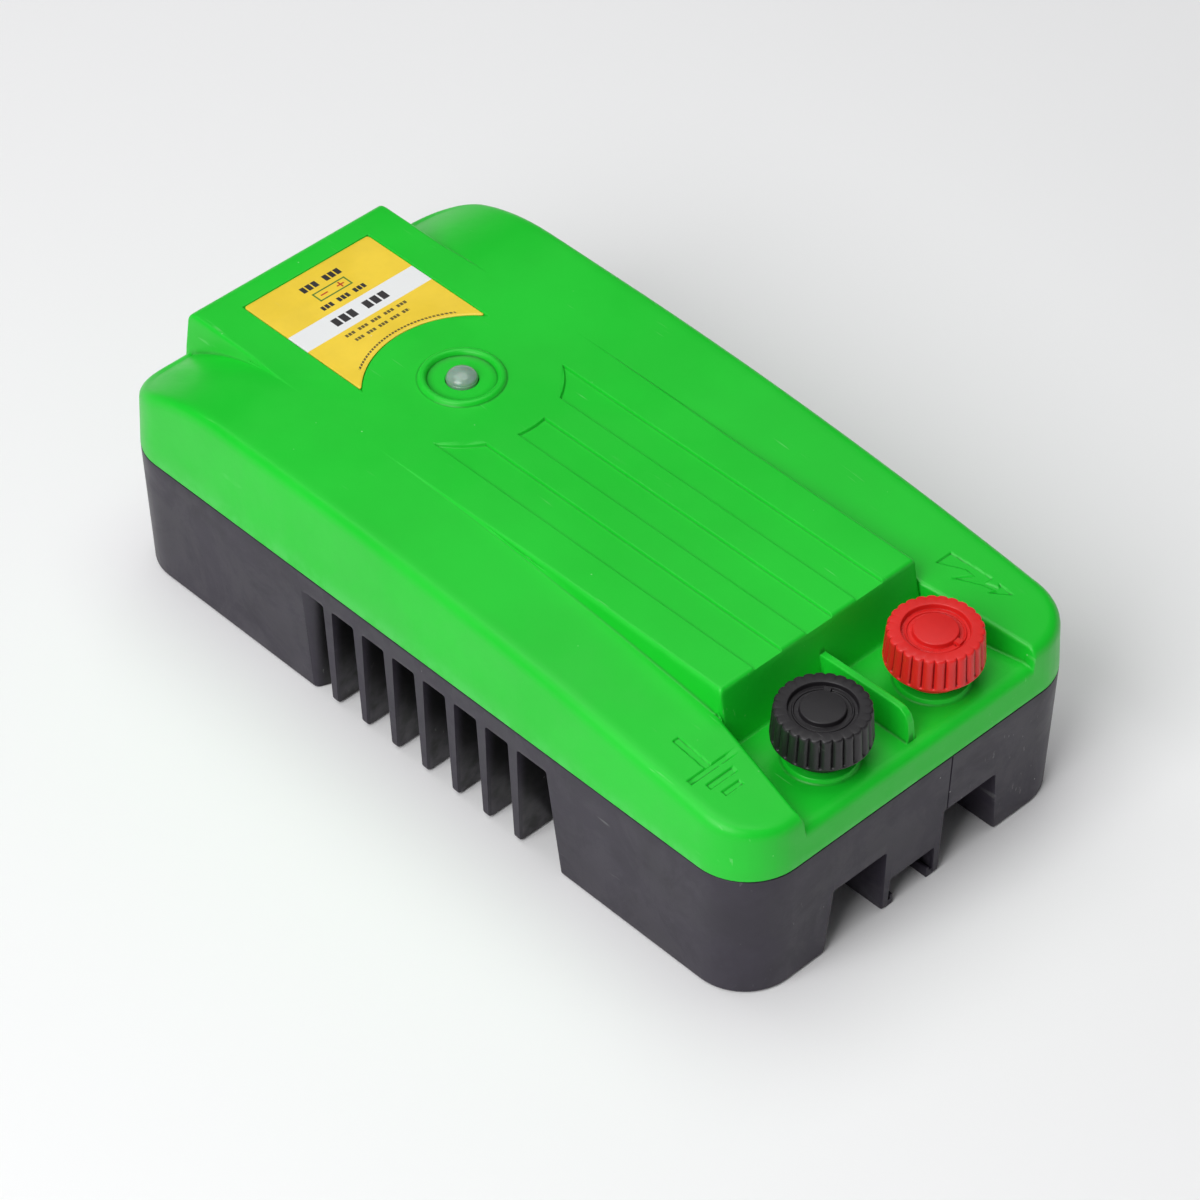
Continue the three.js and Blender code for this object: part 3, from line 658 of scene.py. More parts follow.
labelPrint = {
    "yellow": (242, 208, 60),
    "band": (236, 238, 238),
    "ink": (52, 50, 52),
    "faint": (104, 92, 48),
    "red": (190, 52, 40),
    "green": (84, 128, 52),
    # printed bars: lowest and highest X, lowest and highest Y, spacing of the gaps (0 for a solid bar), ink
    "bars": (
        (-30, 30, 87.7, 96.0, 0, "band"),
        (-9.9, 9.76, 90.2, 93.6, 2.9, "ink"),
        (-7.1, 7.14, 107.5, 110.1, 2.1, "ink"),
        (-8.1, 8.07, 98.0, 99.9, 1.5, "ink"),
        (-11.2, 11.34, 84.8, 86.0, 1.2, "faint"),
        (-10.2, 9.6, 81.8, 83.0, 1.1, "faint"),
        # the battery sign: its box, its minus and its plus
        (-6.0, 6.0, 105.3, 105.8, 0, "green"),
        (-6.0, 6.0, 101.7, 102.2, 0, "green"),
        (-6.0, -5.5, 101.7, 105.8, 0, "green"),
        (5.5, 6.0, 101.7, 105.8, 0, "green"),
        (-4.3, -1.7, 103.5, 104.0, 0, "red"),
        (1.7, 4.3, 103.5, 104.0, 0, "red"),
        (2.75, 3.25, 102.5, 105.0, 0, "red"),
    ),
    "letterShare": 0.78,
    "wordShare": 0.75,  # a word is four letters long
    # the fine dashed line round the lamp
    "arcCentreY": 45.0,
    "arcRadius": 32.6,
    "arcHalf": 0.35,
    "arcDash": 1.1,
    "arcShare": 0.7,
    "arcReach": 18.0,
}


def printedLabel(tree, tint):  # the white band, rows of broken bars, a battery sign and a dashed line
    x, y = placeParts(tree)[:2]
    for x0, x1, y0, y1, spacing, ink in labelPrint["bars"]:
        mask = boxMask(tree, (x0, y0), (x1, y1))
        if spacing:
            letters = dashes(tree, x, x0 - 0.1, spacing, labelPrint["letterShare"])
            words = dashes(tree, x, x0 - 0.1, spacing * 4, labelPrint["wordShare"])
            mask = multiply(tree, mask, letters, words)
        tint = blend(tree, mask, tint, linear(labelPrint[ink]))
    fromCentre = mathNode(tree, "SUBTRACT", y, labelPrint["arcCentreY"] * millimetre)
    squares = [mathNode(tree, "POWER", part, 2.0) for part in (x, fromCentre)]
    away = mathNode(tree, "SQRT", mathNode(tree, "ADD", *squares))
    away = mathNode(tree, "SUBTRACT", away, labelPrint["arcRadius"] * millimetre)
    line = mathNode(tree, "LESS_THAN", mathNode(tree, "ABSOLUTE", away), labelPrint["arcHalf"] * millimetre)
    near = mathNode(tree, "LESS_THAN", mathNode(tree, "ABSOLUTE", x), labelPrint["arcReach"] * millimetre)
    broken = dashes(tree, x, 0, labelPrint["arcDash"], labelPrint["arcShare"])
    return blend(tree, multiply(tree, line, broken, near), tint, linear(labelPrint["faint"]))


# where the shade of the side recesses starts and is full, in metres
recessShade = {
    "colour": (7, 7, 8),
    "innerX": (0.0495, 0.0502),
    "outerX": (0.0632, 0.060),
    "middleY": -0.0055,
    "halfY": (0.0505, 0.0475),
    "topZ": (0.0375, 0.0355),
}


def shadedRecess(tree, tint):  # the ribbed side recesses stay dark inside
    x, y, z = placeParts(tree)
    inward = mathNode(tree, "ABSOLUTE", x)
    along = mathNode(tree, "ABSOLUTE", mathNode(tree, "SUBTRACT", y, recessShade["middleY"]))
    parts = ((inward, "innerX"), (inward, "outerX"), (along, "halfY"), (z, "topZ"))
    mask = multiply(tree, *[remap(tree, value, *recessShade[key]) for value, key in parts])
    return blend(tree, mask, tint, linear(recessShade["colour"]))


materials = {
    "cover_green": moulded("coverGreen", (20, 198, 42), 0.4, specular=0.35, dust=(150, 225, 150),
                           specks=0.22, scuffs=0.25, shift=0.015, patchSize=0.05),
    "base_black": moulded("baseBlack", (50, 46, 56), 0.45, specular=0.32, paint=shadedRecess,
                          specks=0.3, scuffs=0.1, shift=0.06),
    "knob_black": moulded("knobBlack", (30, 28, 31), 0.38, specular=0.4,
                          specks=0.15, scuffs=0.25, shift=0.06),
    "knob_red": moulded("knobRed", (216, 34, 32), 0.34, specular=0.35, dust=(255, 190, 180),
                        specks=0.15, scuffs=0.2, shift=0.03),
    "label_yellow": moulded("labelYellow", labelPrint["yellow"], 0.34, grain=0.0015, bump=0.02, shift=0.02,
                            specks=0.05, scuffs=0.1, wear=0.0, paint=printedLabel),
    "lens_grey": clearPlastic("lensGrey", (158, 188, 172), 0.22, 0.25),
    "seal_rubber": moulded("sealRubber", (30, 30, 31), 0.7, grain=0.0004, bump=0.1),
    "zinc_steel": moulded("zincSteel", (186, 190, 196), 0.32, metal=1.0,
                          grain=0.0003, bump=0.03, specks=0.1),
    "brass": moulded("brass", (206, 170, 88), 0.3, metal=1.0, grain=0.0003, bump=0.03, specks=0.05),
    "board_green": moulded("boardGreen", (28, 104, 58), 0.45, grain=0.0008, bump=0.04),
    "core_steel": moulded("coreSteel", (84, 86, 92), 0.45, metal=0.8, grain=0.0005, bump=0.08),
    "bobbin_cream": moulded("bobbinCream", (228, 218, 194), 0.5),
    "coil_copper": moulded("coilCopper", (176, 98, 52), 0.32, metal=0.9, grain=0.0004, bump=0.12),
    "capacitor_blue": moulded("capacitorBlue", (52, 102, 180), 0.35, shift=0.05),
    "can_black": moulded("canBlack", (38, 38, 46), 0.3, shift=0.06),
    "chip_black": moulded("chipBlack", (34, 34, 36), 0.5, grain=0.0003),
    "aluminium": moulded("aluminium", (196, 199, 204), 0.36, metal=1.0, grain=0.0004, bump=0.05),
    "fuse_glass": clearPlastic("fuseGlass", (215, 226, 226), 0.08, 0.8),
    "terminal_green": moulded("terminalGreen", (62, 142, 88), 0.42),
    "resistor_blue": moulded("resistorBlue", (128, 182, 208), 0.4, grain=0.0004),
    "led_red": clearPlastic("ledRed", (216, 78, 70), 0.15, 0.4),
    "lead_red": moulded("leadRed", (184, 40, 42), 0.5, grain=0.0005),
    "lead_black": moulded("leadBlack", (34, 34, 36), 0.5, grain=0.0005),
}
print("materials made", len(materials))

slotOf = {part["node"]: part["material_slot"] for part in frame["record"]["subparts"]}
for name, node in frame["nodes"].items():
    node.data.materials.clear()
    node.data.materials.append(materials[slotOf[name]])


cover = {
    "side": 1,
    "inset": 4.0,
    "draft": 0.045,
    "wall": 2.6,
    "insideLean": 1.9,
    "insideStep": 4,
    "wallShares": (0, 0.12, 0.35, 0.65, 1),
    "browLevels": ((54, 57, 62), (2.4, 3.0, 3.6)),  # Z, then brow there
    "rearBrow": 1.6,  # under the rear end of the strip
    "top": 72.5,
    "fallFrom": 50,  # the deck falls to the front with the square of the distance from here
    "fallLength": 2300,
    "rearFrom": 80,  # behind this the deck follows a circle down
    "rearRadius": 72,
    "stripHalf": 36.3,
    "stripLean": 0.08,
    "wallRow": 36.8,  # grid column that follows the strip's side and the pocket's
    "pocketFloor": 54.0,
    "pocketRear": -88.5,
    "pocketHalf": 37.0,
    "pocketFlare": 0.19,
    "flareFrom": -89,
    "channelDepth": 0.8,
    "channels": ((0.0, 4.9), (18.85, 5.05)),  # middle and half width, on both sides
    "channelEnd": 28.3,
    "lampY": 50.0,
    "labelHalf": 23.45,
    "labelRear": 115.05,
    "labelArc": 30.75,
    "labelArcY": 45.0,
    "channelPull": (24.4, 5, 36.5),  # how far out, and between which Y, rows bend to the channels' ends
    "labelPull": (23.9, 63.5, 90),
    "symbolDepth": 0.45,
    "webHalf": 1.25,
    # the top of the web between the terminals: Y, then Z
    "webLine": ((-120.85, -120.65, -120.2, -119.1, -117.2, -114.5, -86.5),
                (53.9, 57.0, 60.3, 62.6, 63.8, 64.0, 63.3)),
    # radius of the hollow foot, radius of the rounded brow, half width of the face
    "stripRounds": (0.7, 1.3, 0.3),
    "channelRounds": (0.25, 0.25, 0.08),
    "labelRounds": (0.2, 0.3, 0.08),
    "symbolRounds": (0.1, 0.1, 0.1),
    "pocketRounds": (1.0, 1.3, 0.15),
    "pocketRearRounds": (1.2, 1.3, 1.5),
    "webRounds": (0.7, 0.45, 0.12),
    # radius and height of each ring, from the outside in
    "lampHalf": 13.3,
    "lampRings": ((12.95, 0), (12.6, 0.03), (12.35, 0.25), (12.2, 0.7), (11.85, 1.05), (11.4, 1.2),
                  (10.9, 1.2), (10.45, 1.05), (10.1, 0.7), (9.9, 0.1), (9.7, -0.25), (9.4, -0.35),
                  (7.0, -0.35), (5.3, -0.35), (4.85, -0.4), (4.62, -0.7), (4.62, -2.2)),
    "collarHalf": 11.6,
    "collarRings": ((11.2, 0), (10.75, 0.08), (10.4, 0.35), (10.2, 0.8), (10.1, 1.25), (9.85, 1.52),
                    (9.5, 1.6), (6.0, 1.6), (3.6, 1.6), (3.3, 1.3), (3.3, -1.8)),
}
knobLow, knobHigh = nodeBox("knob_fence")
terminalX, terminalY = abs(knobLow[0] + knobHigh[0]) / 2, (knobLow[1] + knobHigh[1]) / 2
coverRadius = case["cornerRadius"] - cover["inset"]
coverHalfX = cornerX + coverRadius
channelStart = cover["lampY"] - cover["channelEnd"]
labelFront = cover["labelArcY"] + cover["labelArc"]
symbols = {
    # earth sign: a stem and three bars, each from one corner to the other
    "earth": (((-52.0, -97.3), (-49.8, -85.5)), ((-58.4, -98.9), (-43.5, -97.2)),
              ((-55.4, -103.0), (-46.3, -101.2)), ((-54.0, -106.9), (-47.8, -105.3))),
    # flash sign: a broken arrow, as a closed outline
    "flash": ((45.8, -85.9), (51.6, -85.9), (53.5, -99.4), (51.0, -99.3), (52.3, -102.8), (53.5, -101.9),
              (53.4, -106.8), (48.8, -102.2), (50.9, -103.0), (49.4, -99.0), (45.3, -92.6), (50.2, -95.6),
              (50.2, -92.6)),
}


def deckHeight(y):  # a shallow curve down to the front, level, then a round fall at the rear
    front = cover["top"] - np.minimum(y - cover["fallFrom"], 0)**2 / cover["fallLength"]
    radius = cover["rearRadius"]
    rear = -radius + np.sqrt(radius**2 - np.clip(y - cover["rearFrom"], 0, 60)**2)
    return front + rear


def stripLean(y):  # half of how far the strip's side leans out on its way down to the deck
    return cover["stripLean"] / 2 * (cover["top"] - deckHeight(y))


def pocketEdge(y):  # half width of the pocket
    return cover["pocketHalf"] + cover["pocketFlare"] * np.maximum(cover["flareFrom"] - y, -2)


def coverPlace(u, v, shrink):
    over = np.maximum(np.abs(v) - cornerY, 0)
    y = np.sign(v) * (np.abs(v) - over * shrink / coverRadius)
    a = np.abs(u)
    # rows follow the hollow ends of the channels and of the label recess
    reach, before, after = cover["channelPull"]
    ends = cover["lampY"] - np.sqrt(cover["channelEnd"]**2 - np.minimum(a, reach)**2)
    y = y + (ends - channelStart) * hat(y, before, channelStart, after)
    reach, before, after = cover["labelPull"]
    arc = cover["labelArcY"] + np.sqrt(cover["labelArc"]**2 - np.minimum(a, reach)**2)
    y = y + (arc - labelFront) * hat(y, before, labelFront, after)
    # columns follow the strip's side, then the pocket's, then the outline
    share = np.clip((y + 90) / 3, 0, 1)
    wall = share * (cover["stripHalf"] + stripLean(y)) + (1 - share) * pocketEdge(y)
    shift = (wall - cover["wallRow"]) * np.clip((a - 33) / 1.8, 0, 1)
    knee = cover["wallRow"] + 2
    radius = coverRadius - shrink
    outline = roundedEnd(np.clip(y, -cornerY - radius, cornerY + radius), radius)
    kneeX = knee + wall - cover["wallRow"]
    outer = kneeX + (a - knee) * (outline - kneeX) / (coverHalfX - knee)
    return np.sign(u) * np.where(a < knee, a + shift, outer), y


def insideDistance(x, y, points):  # distance to the nearest side of a closed outline, minus outside it
    best = np.full(x.shape, 99.0)
    crossings = np.zeros(x.shape, int)
    for (ax, ay), (bx, by) in zip(points, points[1:] + points[:1]):
        dx, dy = bx - ax, by - ay
        t = np.clip(((x - ax) * dx + (y - ay) * dy) / (dx**2 + dy**2), 0, 1)
        best = np.minimum(best, np.hypot(x - ax - t * dx, y - ay - t * dy))
        spans = (ay > y) != (by > y)
        crossings += spans & (x < ax + (y - ay) * dx / (dy + 1e-9 * (dy == 0)))
    return np.where(crossings % 2 == 1, best, -best)


def engraving(x, y):  # depth of the two signs beside the terminals
    inside = np.full(x.shape, -99.0)
    for (x0, y0), (x1, y1) in symbols["earth"]:
        inside = np.maximum(inside, np.minimum(np.minimum(x - x0, x1 - x), np.minimum(y - y0, y1 - y)))
    inside = np.maximum(inside, insideDistance(x, y, symbols["flash"]))
    return roundStep(inside, 0, cover["symbolDepth"], *cover["symbolRounds"])


def dividerHeight(y):  # top of the web between the terminals
    return np.interp(y, *cover["webLine"])


def coverRise(x, y):
    # the raised strip on the deck, less the channels, the label recess and the signs; then the lower of
    # that and the pocket, whose floor is bounded by its side walls, its rear wall and the web
    a = np.abs(x)
    lean = stripLean(y)
    foot, brow, _ = cover["stripRounds"]
    plain = roundStep(cover["stripHalf"] + lean - a, deckHeight(y), cover["top"], foot, brow, lean + 0.1)
    level = plain
    fromLamp = np.hypot(x, y - cover["lampY"])
    for middle, half in cover["channels"]:
        edge = np.minimum(half - np.abs(a - middle), fromLamp - cover["channelEnd"])
        edge = np.where(y < cover["lampY"], edge, -9)
        level = level - roundStep(edge, 0, cover["channelDepth"], *cover["channelRounds"])
    fromArc = np.hypot(x, y - cover["labelArcY"]) - cover["labelArc"]
    edge = np.minimum(np.minimum(cover["labelHalf"] - a, cover["labelRear"] - y), fromArc)
    edge = np.where(y > cover["lampY"], edge, -9)
    level = level - roundStep(edge, 0, cover["channelDepth"], *cover["labelRounds"])
    level = level - engraving(x, y)
    floor = cover["pocketFloor"]
    beside = roundStep(a - pocketEdge(y), floor, plain, *cover["pocketRounds"])
    behind = roundStep(y - cover["pocketRear"], floor, plain, *cover["pocketRearRounds"])
    web = roundStep(cover["webHalf"] - a, floor, dividerHeight(y), *cover["webRounds"])
    return np.minimum(np.maximum(np.maximum(beside, behind), web), level) - case["split"]


def coverBrow(x, y, r):  # how far the rounded edge comes down the wall
    z = r + case["split"]
    brow = np.interp(z, *cover["browLevels"])
    return np.where((y > 118) & (z > cover["browLevels"][0][-1]), cover["rearBrow"], brow)


def barLines(ends):  # a grid line on each end of a bar and one either side of it
    return [end + np.array([-0.2, 0, 0.2]) for end in ends]


def coverLines():
    channel, label = cover["channelRounds"], cover["labelRounds"]
    centre, side = cover["channels"]
    right = [
        [0, coverHalfX, cover["lampHalf"]],
        terminalX + bothWays * cover["collarHalf"],
        wallLines(cover["webHalf"], -1, *cover["webRounds"]),
        wallLines(cover["wallRow"], 1, *cover["pocketRounds"]),
        wallLines(cover["wallRow"], -1, *cover["stripRounds"]),
        wallLines(centre[1], 1, *channel),
        wallLines(side[0] - side[1], -1, *channel),
        wallLines(side[0] + side[1], 1, *channel),
        wallLines(cover["labelHalf"], 1, *label),
        np.arange(44.6, 54.6, 0.3),  # close lines over the flash sign
    ]
    rows = cornerRows(coverRadius)
    along = [
        rows,
        -rows,
        cover["lampY"] + bothWays * cover["lampHalf"],
        terminalY + bothWays * cover["collarHalf"],
        cover["webLine"][0],
        wallLines(cover["pocketRear"], 1, *cover["pocketRearRounds"]),
        wallLines(channelStart, 1, *channel),
        wallLines(labelFront, -1, *label),
        wallLines(cover["labelRear"], 1, *label),
        np.arange(-107.4, -85.2, 0.3),
    ]
    for (x0, y0), (x1, y1) in symbols["earth"]:
        right += barLines((-x0, -x1))
        along += barLines((y0, y1))
    half = spread(right, 2.6)
    return np.concatenate([-half[:0:-1], half]), spread(along, 2.8)


def window(x, y, half, rings, level):  # a round window in a face, with its rings of radius and height
    return {"centre": (x, y), "half": half, "profile": [(radius, level + z) for radius, z in rings]}


cover["windows"] = [window(0.0, cover["lampY"], cover["lampHalf"], cover["lampRings"], cover["top"])]
for x in (-terminalX, terminalX):
    collar = window(x, terminalY, cover["collarHalf"], cover["collarRings"], cover["pocketFloor"])
    cover["windows"].append(collar)
cover["wallWindows"] = []
cover["step"] = lambda x, facing: 0
cover["brow"] = coverBrow


def makeCover():
    surface = Surface()
    across, along = coverLines()
    print("cover grid", len(across), len(along))
    makeShell(surface, cover, across, along, coverPlace, coverRise)
    return makePiece("cover_shell", surface, "housing", "cover_green", ["top_cover"])


makeCover()


base = {
    "side": -1,
    "inset": 2.7,
    "draft": 1.5 / 43.2,
    "wall": 3.0,
    "insideLean": 1.6,
    "insideStep": 4,
    "wallShares": (0, 0.2, 0.4332, 0.67, 0.9049, 1),
    "browLevels": ((7.5, 20, 42.0, 42.72, 43.1), (0.7, 0.8, 0.9, 1.9, 1.1)),  # depth, then brow there
    "wellInner": 10.8,
    "wellOuter": 31.85,
    "wellHeight": 22.3,
    "wellEnd": 90.0,
    "railInner": 8.6,
    "railCeiling": 10.1,
    "recessWall": 50.0,
    "recessTop": 36.0,
    "recessFront": -53.0,
    "recessRear": 42.0,
    "recessRearRound": 6.5,
    "bendReach": (37.4, 62),  # the rear foot's rounded edge fades out between these Y
    "ribRows": tuple(35.6 - 12.25 * i for i in range(7)),
    "ribHalf": 1.375,
    "ribFoot": 0.5,
    # radius of the hollow foot, radius of the rounded brow, half width of the face
    "wellInnerRounds": (0.8, 0.4, 0.12),
    "wellOuterRounds": (0.8, 0.8, 0.85),
    "wellEndRounds": (0.8, 0.8, 0.15),
    "railRounds": (0.6, 0.4, 0.12),
    "railEndRounds": (0.6, 0.8, 0.15),
    "recessRounds": (0.8, 0.6, 0.15),
    "recessFrontRounds": (0.8, 0.5, 2.0),
    "ribRounds": (0.8, 0.5, 0.325),
    "mouldLine": (11.8, 11.95, 12.2, 12.35),  # X across the thin groove down the front wall
    "mouldDepth": 0.45,
    "screw": (50.0, 105.0),
    # radius and depth of each ring, from the outside in
    "screwHalf": 6.0,
    "screwRings": ((5.3, 0.0), (5.0, 0.04), (4.7, 0.25), (4.5, 0.6), (4.5, 12), (4.4, 32.4),
                   (4.0, 32.8), (2.2, 32.8), (2.2, 33.3)),
    "socketHalf": 9.8,
    "socketRings": ((9.45, 0), (9.2, 0.04), (9.05, 0.3), (9.0, 0.6), (9.0, 2.2), (8.8, 2.5),
                    (6.5, 2.5), (6.3, 2.7), (6.3, 5.0)),
}
baseRadius = case["cornerRadius"] - base["inset"]
baseHalfX = cornerX + baseRadius
screwX, screwY = base["screw"]
inletLow, inletHigh = nodeBox("supply_inlet")
inletX, inletZ = (inletLow[0] + inletHigh[0]) / 2, (inletLow[2] + inletHigh[2]) / 2


def basePlace(u, v, shrink):
    over = np.maximum(np.abs(v) - cornerY, 0)
    y = np.sign(v) * (np.abs(v) - over * shrink / baseRadius)
    a = np.abs(u)
    radius = baseRadius - shrink
    outline = roundedEnd(np.clip(y, -cornerY - radius, cornerY + radius), radius)
    knee = 45.0
    outer = knee + (a - knee) * (outline - knee) / (baseHalfX - knee)
    return np.sign(u) * np.where(a < knee, a, outer), y


def baseBend(x, y):  # rounds the front edge of the rear foot block
    radius = base["recessRearRound"]
    before, after = base["bendReach"]
    over = np.clip(np.abs(x) - (case["halfWidth"] - radius), 0, radius * 0.999)
    return y + (radius - np.sqrt(radius**2 - over**2)) * hat(y, before, base["recessRear"], after)


def baseRise(x, y):
    # the level of the feet, cut by the two wells, the bracket channel and the recesses: the lowest of
    # their ceilings, each bounded by its walls. The ribs stand in the recesses.
    a = np.abs(x)
    foot = case["split"]
    ceiling = foot - base["wellHeight"]
    inner = roundStep(base["wellInner"] - a, ceiling, foot, *base["wellInnerRounds"])
    outer = roundStep(a - base["wellOuter"], ceiling, foot, *base["wellOuterRounds"])
    end = roundStep(y - base["wellEnd"], ceiling, foot, *base["wellEndRounds"])
    well = np.maximum(np.maximum(inner, outer), end)
    ceiling = foot - base["railCeiling"]
    sides = roundStep(a - base["railInner"], ceiling, foot, *base["railRounds"])
    end = roundStep(y - base["wellEnd"], ceiling, foot, *base["railEndRounds"])
    channel = np.maximum(sides, end)
    ceiling = foot - base["recessTop"]
    inner = roundStep(base["recessWall"] - a, ceiling, foot, *base["recessRounds"])
    front = roundStep(base["recessFront"] - y, ceiling, foot, *base["recessFrontRounds"])
    rear = roundStep(y - base["recessRear"], ceiling, foot, *base["recessRounds"])
    recess = np.maximum(np.maximum(inner, front), rear)
    fromRib = np.min(np.abs(y[..., None] - np.array(base["ribRows"])), axis=-1)
    rib = roundStep(base["ribHalf"] - fromRib, ceiling, foot - base["ribFoot"], *base["ribRounds"])
    return np.minimum(np.minimum(well, channel), np.maximum(recess, rib))


def baseBrow(x, y, r):  # how far the rounded edge comes up the wall
    return np.interp(r, *base["browLevels"])


def baseStep(x, facing):  # depth of the mould line on the front wall
    groove = np.interp(x, base["mouldLine"], [0, base["mouldDepth"], base["mouldDepth"], 0])
    return np.where(facing < -0.999, groove, 0)


def baseLines():
    right = [
        [0, baseHalfX],
        screwX + bothWays * base["screwHalf"],
        abs(inletX) + bothWays * base["socketHalf"],
        base["mouldLine"],
        wallLines(base["railInner"], 1, *base["railRounds"]),
        wallLines(base["wellInner"], -1, *base["wellInnerRounds"]),
        wallLines(base["wellOuter"], 1, *base["wellOuterRounds"]),
        wallLines(base["recessWall"], -1, *base["recessRounds"]),
    ]
    rows = cornerRows(baseRadius)
    along = [
        rows,
        -rows,
        screwY + bothWays * base["screwHalf"],
        -screwY + bothWays * base["screwHalf"],
        wallLines(base["recessFront"], -1, *base["recessFrontRounds"]),
        wallLines(base["recessRear"], 1, *base["recessRounds"]),
        wallLines(base["wellEnd"], 1, *base["wellEndRounds"]),
    ]
    for row in base["ribRows"]:
        along.append(wallLines(row - base["ribHalf"], 1, *base["ribRounds"]))
        along.append(wallLines(row + base["ribHalf"], -1, *base["ribRounds"]))
    half = spread(right, 3.0)
    return np.concatenate([-half[:0:-1], half]), spread(along, 3.0)


socket = {"centre": (inletX, inletZ), "half": base["socketHalf"], "profile": base["socketRings"]}
screws = [(x, y) for x in (-screwX, screwX) for y in (-screwY, screwY)]
base["windows"] = [window(x, y, base["screwHalf"], base["screwRings"], 0) for x, y in screws]
base["wallWindows"] = [socket]
base["brow"] = baseBrow
base["step"] = baseStep


def makeBase():
    surface = Surface()
    across, along = baseLines()
    print("base grid", len(across), len(along))
    makeShell(surface, base, across, along, basePlace, baseRise, baseBend)
    return makePiece("base_shell", surface, "housing", "base_black", ["base_tub"])


makeBase()

rails = {
    "outer": 9.2,
    "throat": 6.5,
    "lip": 2.2,
    "hook": 3.6,
    "hookThick": 0.9,
    "under": 0.02,
    "rounds": (0.35, 0.3, 0.3, 0.35, 0.1),
    "front": -123.3,
    "rear": 88.5,
}


def makeRail(name, sign):  # the hooked lip of the bracket channel: one section carried along Y
    outer, throat, lip, hook = rails["outer"], rails["throat"], rails["lip"], rails["hook"]
    inside = throat + rails["hookThick"]
    under = rails["under"]
    corners = [(outer, under), (throat, under), (throat, hook), (inside, hook), (inside, lip), (outer, lip),
               (outer, under)]
    section = roundedProfile(corners, rails["rounds"], 4)[:-1]
    surface = Surface()
    stations = np.array([0, 0.1, 0.35] + list(np.linspace(5, 205, 18)) + [211.45, 211.7, 211.8])
    stations = rails["front"] + stations / stations[-1] * (rails["rear"] - rails["front"])
    # both ends are drawn in a little towards the middle of the section
    middle = section.mean(axis=0)
    shrink = np.ones(len(stations))
    shrink[[0, -1]] = 0.9
    across = middle[0] + (section[:, 0] - middle[0])[None, :] * shrink[:, None]
    height = middle[1] + (section[:, 1] - middle[1])[None, :] * shrink[:, None]
    ids = surface.add(sign * across, np.repeat(stations[:, None], len(section), axis=1), height)
    surface.grid(np.concatenate([ids, ids[:, :1]], axis=1))
    for row in (ids[0], ids[-1]):
        centre = surface.add(sign * (inside - 0.05), surface.points[0][row[0], 1], lip / 2)
        surface.fan(row, int(centre))
    return makePiece(name, surface, "housing", "base_black")


makeRail("bracket_rail_left", -1)
makeRail("bracket_rail_right", 1)


knobShape = {
    "flutes": 26,
    "fluteDepth": 0.95,
    "fluteSides": 12,
    "rimHeight": 4.6,
    "rim": 13.5,
    "grip": 13.6,
    "crown": 12.95,
    "neck": 9.4,
    "bore": 5.3,
    "boreDepth": 12.8,
    "groove": (6.1, 9.2),
    "grooveDepth": 1.5,
    "grooveRing": (1.4, 1.5, 1.9, 2.0),  # the low ring in the groove, measured from the middle disc
    "ringHeight": 0.35,
    "discDrop": 0.05,
    "rounds": (0.1, 0.25, 0.3, 0.8, 0.3, 0.3, 0.2, 0.75, 0.3, 0.2, 0.12, 0.12, 0.12, 0.12, 0.15, 0.35),
    "tab": (1.0, 0.5),  # half width of the moulding tab, and how far it stops below the top
}


def makeKnob(name, slotName, tabAngle):
    # a profile turned round the stud: the bore, the neck, the grip, the groove and the middle disc
    low, high = nodeBox(name)
    centre = ((low[0] + high[0]) / 2, (low[1] + high[1]) / 2, 0.0)
    bottom, top = low[2], high[2]
    rim = bottom + knobShape["rimHeight"]
    bore, boreTop = knobShape["bore"], bottom + knobShape["boreDepth"]
    inner, outer = knobShape["groove"]
    deep = top - knobShape["grooveDepth"]
    raised, disc = deep + knobShape["ringHeight"], top - knobShape["discDrop"]
    ring = [inner + out for out in knobShape["grooveRing"]]
    corners = [
        (0, boreTop), (bore, boreTop), (bore, bottom), (knobShape["neck"], bottom),
        (knobShape["neck"], rim - 0.3), (knobShape["rim"], rim), (knobShape["rim"], rim + 0.45),
        (knobShape["grip"], rim + 0.6), (knobShape["crown"], top), (outer, top), (outer - 0.12, deep),
        (ring[3], deep), (ring[2], raised), (ring[1], raised), (ring[0], deep),
        (inner + 0.12, deep), (inner, disc), (0, disc),
    ]
    profile = roundedProfile(corners, knobShape["rounds"], 5)
    # more rows up the grip, where the flutes run
    onGrip = profile[1:, 0] > knobShape["crown"] - 0.3
    at = int(np.argmax(np.diff(profile[:, 1]) * onGrip))
    t = np.linspace(0, 1, 14)[1:-1, None]
    extra = profile[at] * (1 - t) + profile[at + 1] * t
    profile = np.concatenate([profile[:at + 1], extra, profile[at + 1:]])

    def flute(angle, radius, height):
        # rounded ridges that meet in a sharp notch: the notch is deepest where the cube of the distance
        # from the ridge's middle is largest. They start above the rim and run out over the brow.
        phase = (angle * knobShape["flutes"] / (2 * math.pi)) % 1
        hollow = np.abs(2 * phase - 1) ** 3
        grow = np.clip((height - rim - 0.45) / 0.4, 0, 1) * np.clip((radius - 11.9) / 0.8, 0, 1)
        fade = 1 - 0.3 * np.clip((height - top + 2.5) / 2.5, 0, 1)
        radius = radius - knobShape["fluteDepth"] * hollow * grow * fade
        # the small moulding tab beside the middle disc
        half, drop = knobShape["tab"]
        turn = np.abs((angle - tabAngle + math.pi) % (2 * math.pi) - math.pi)
        inGroove = (radius > inner + 0.03) & (radius < inner + 1.95) & (height > deep - 0.1)
        return radius, np.where((turn * radius < half) & inGroove, top - drop, height)

    sides = knobShape["flutes"] * knobShape["fluteSides"]
    surface = turnedSurface(profile, sides, centre, wave=flute)
    return makePiece(name + "_grip", surface, name, slotName, [name], sharp=40)


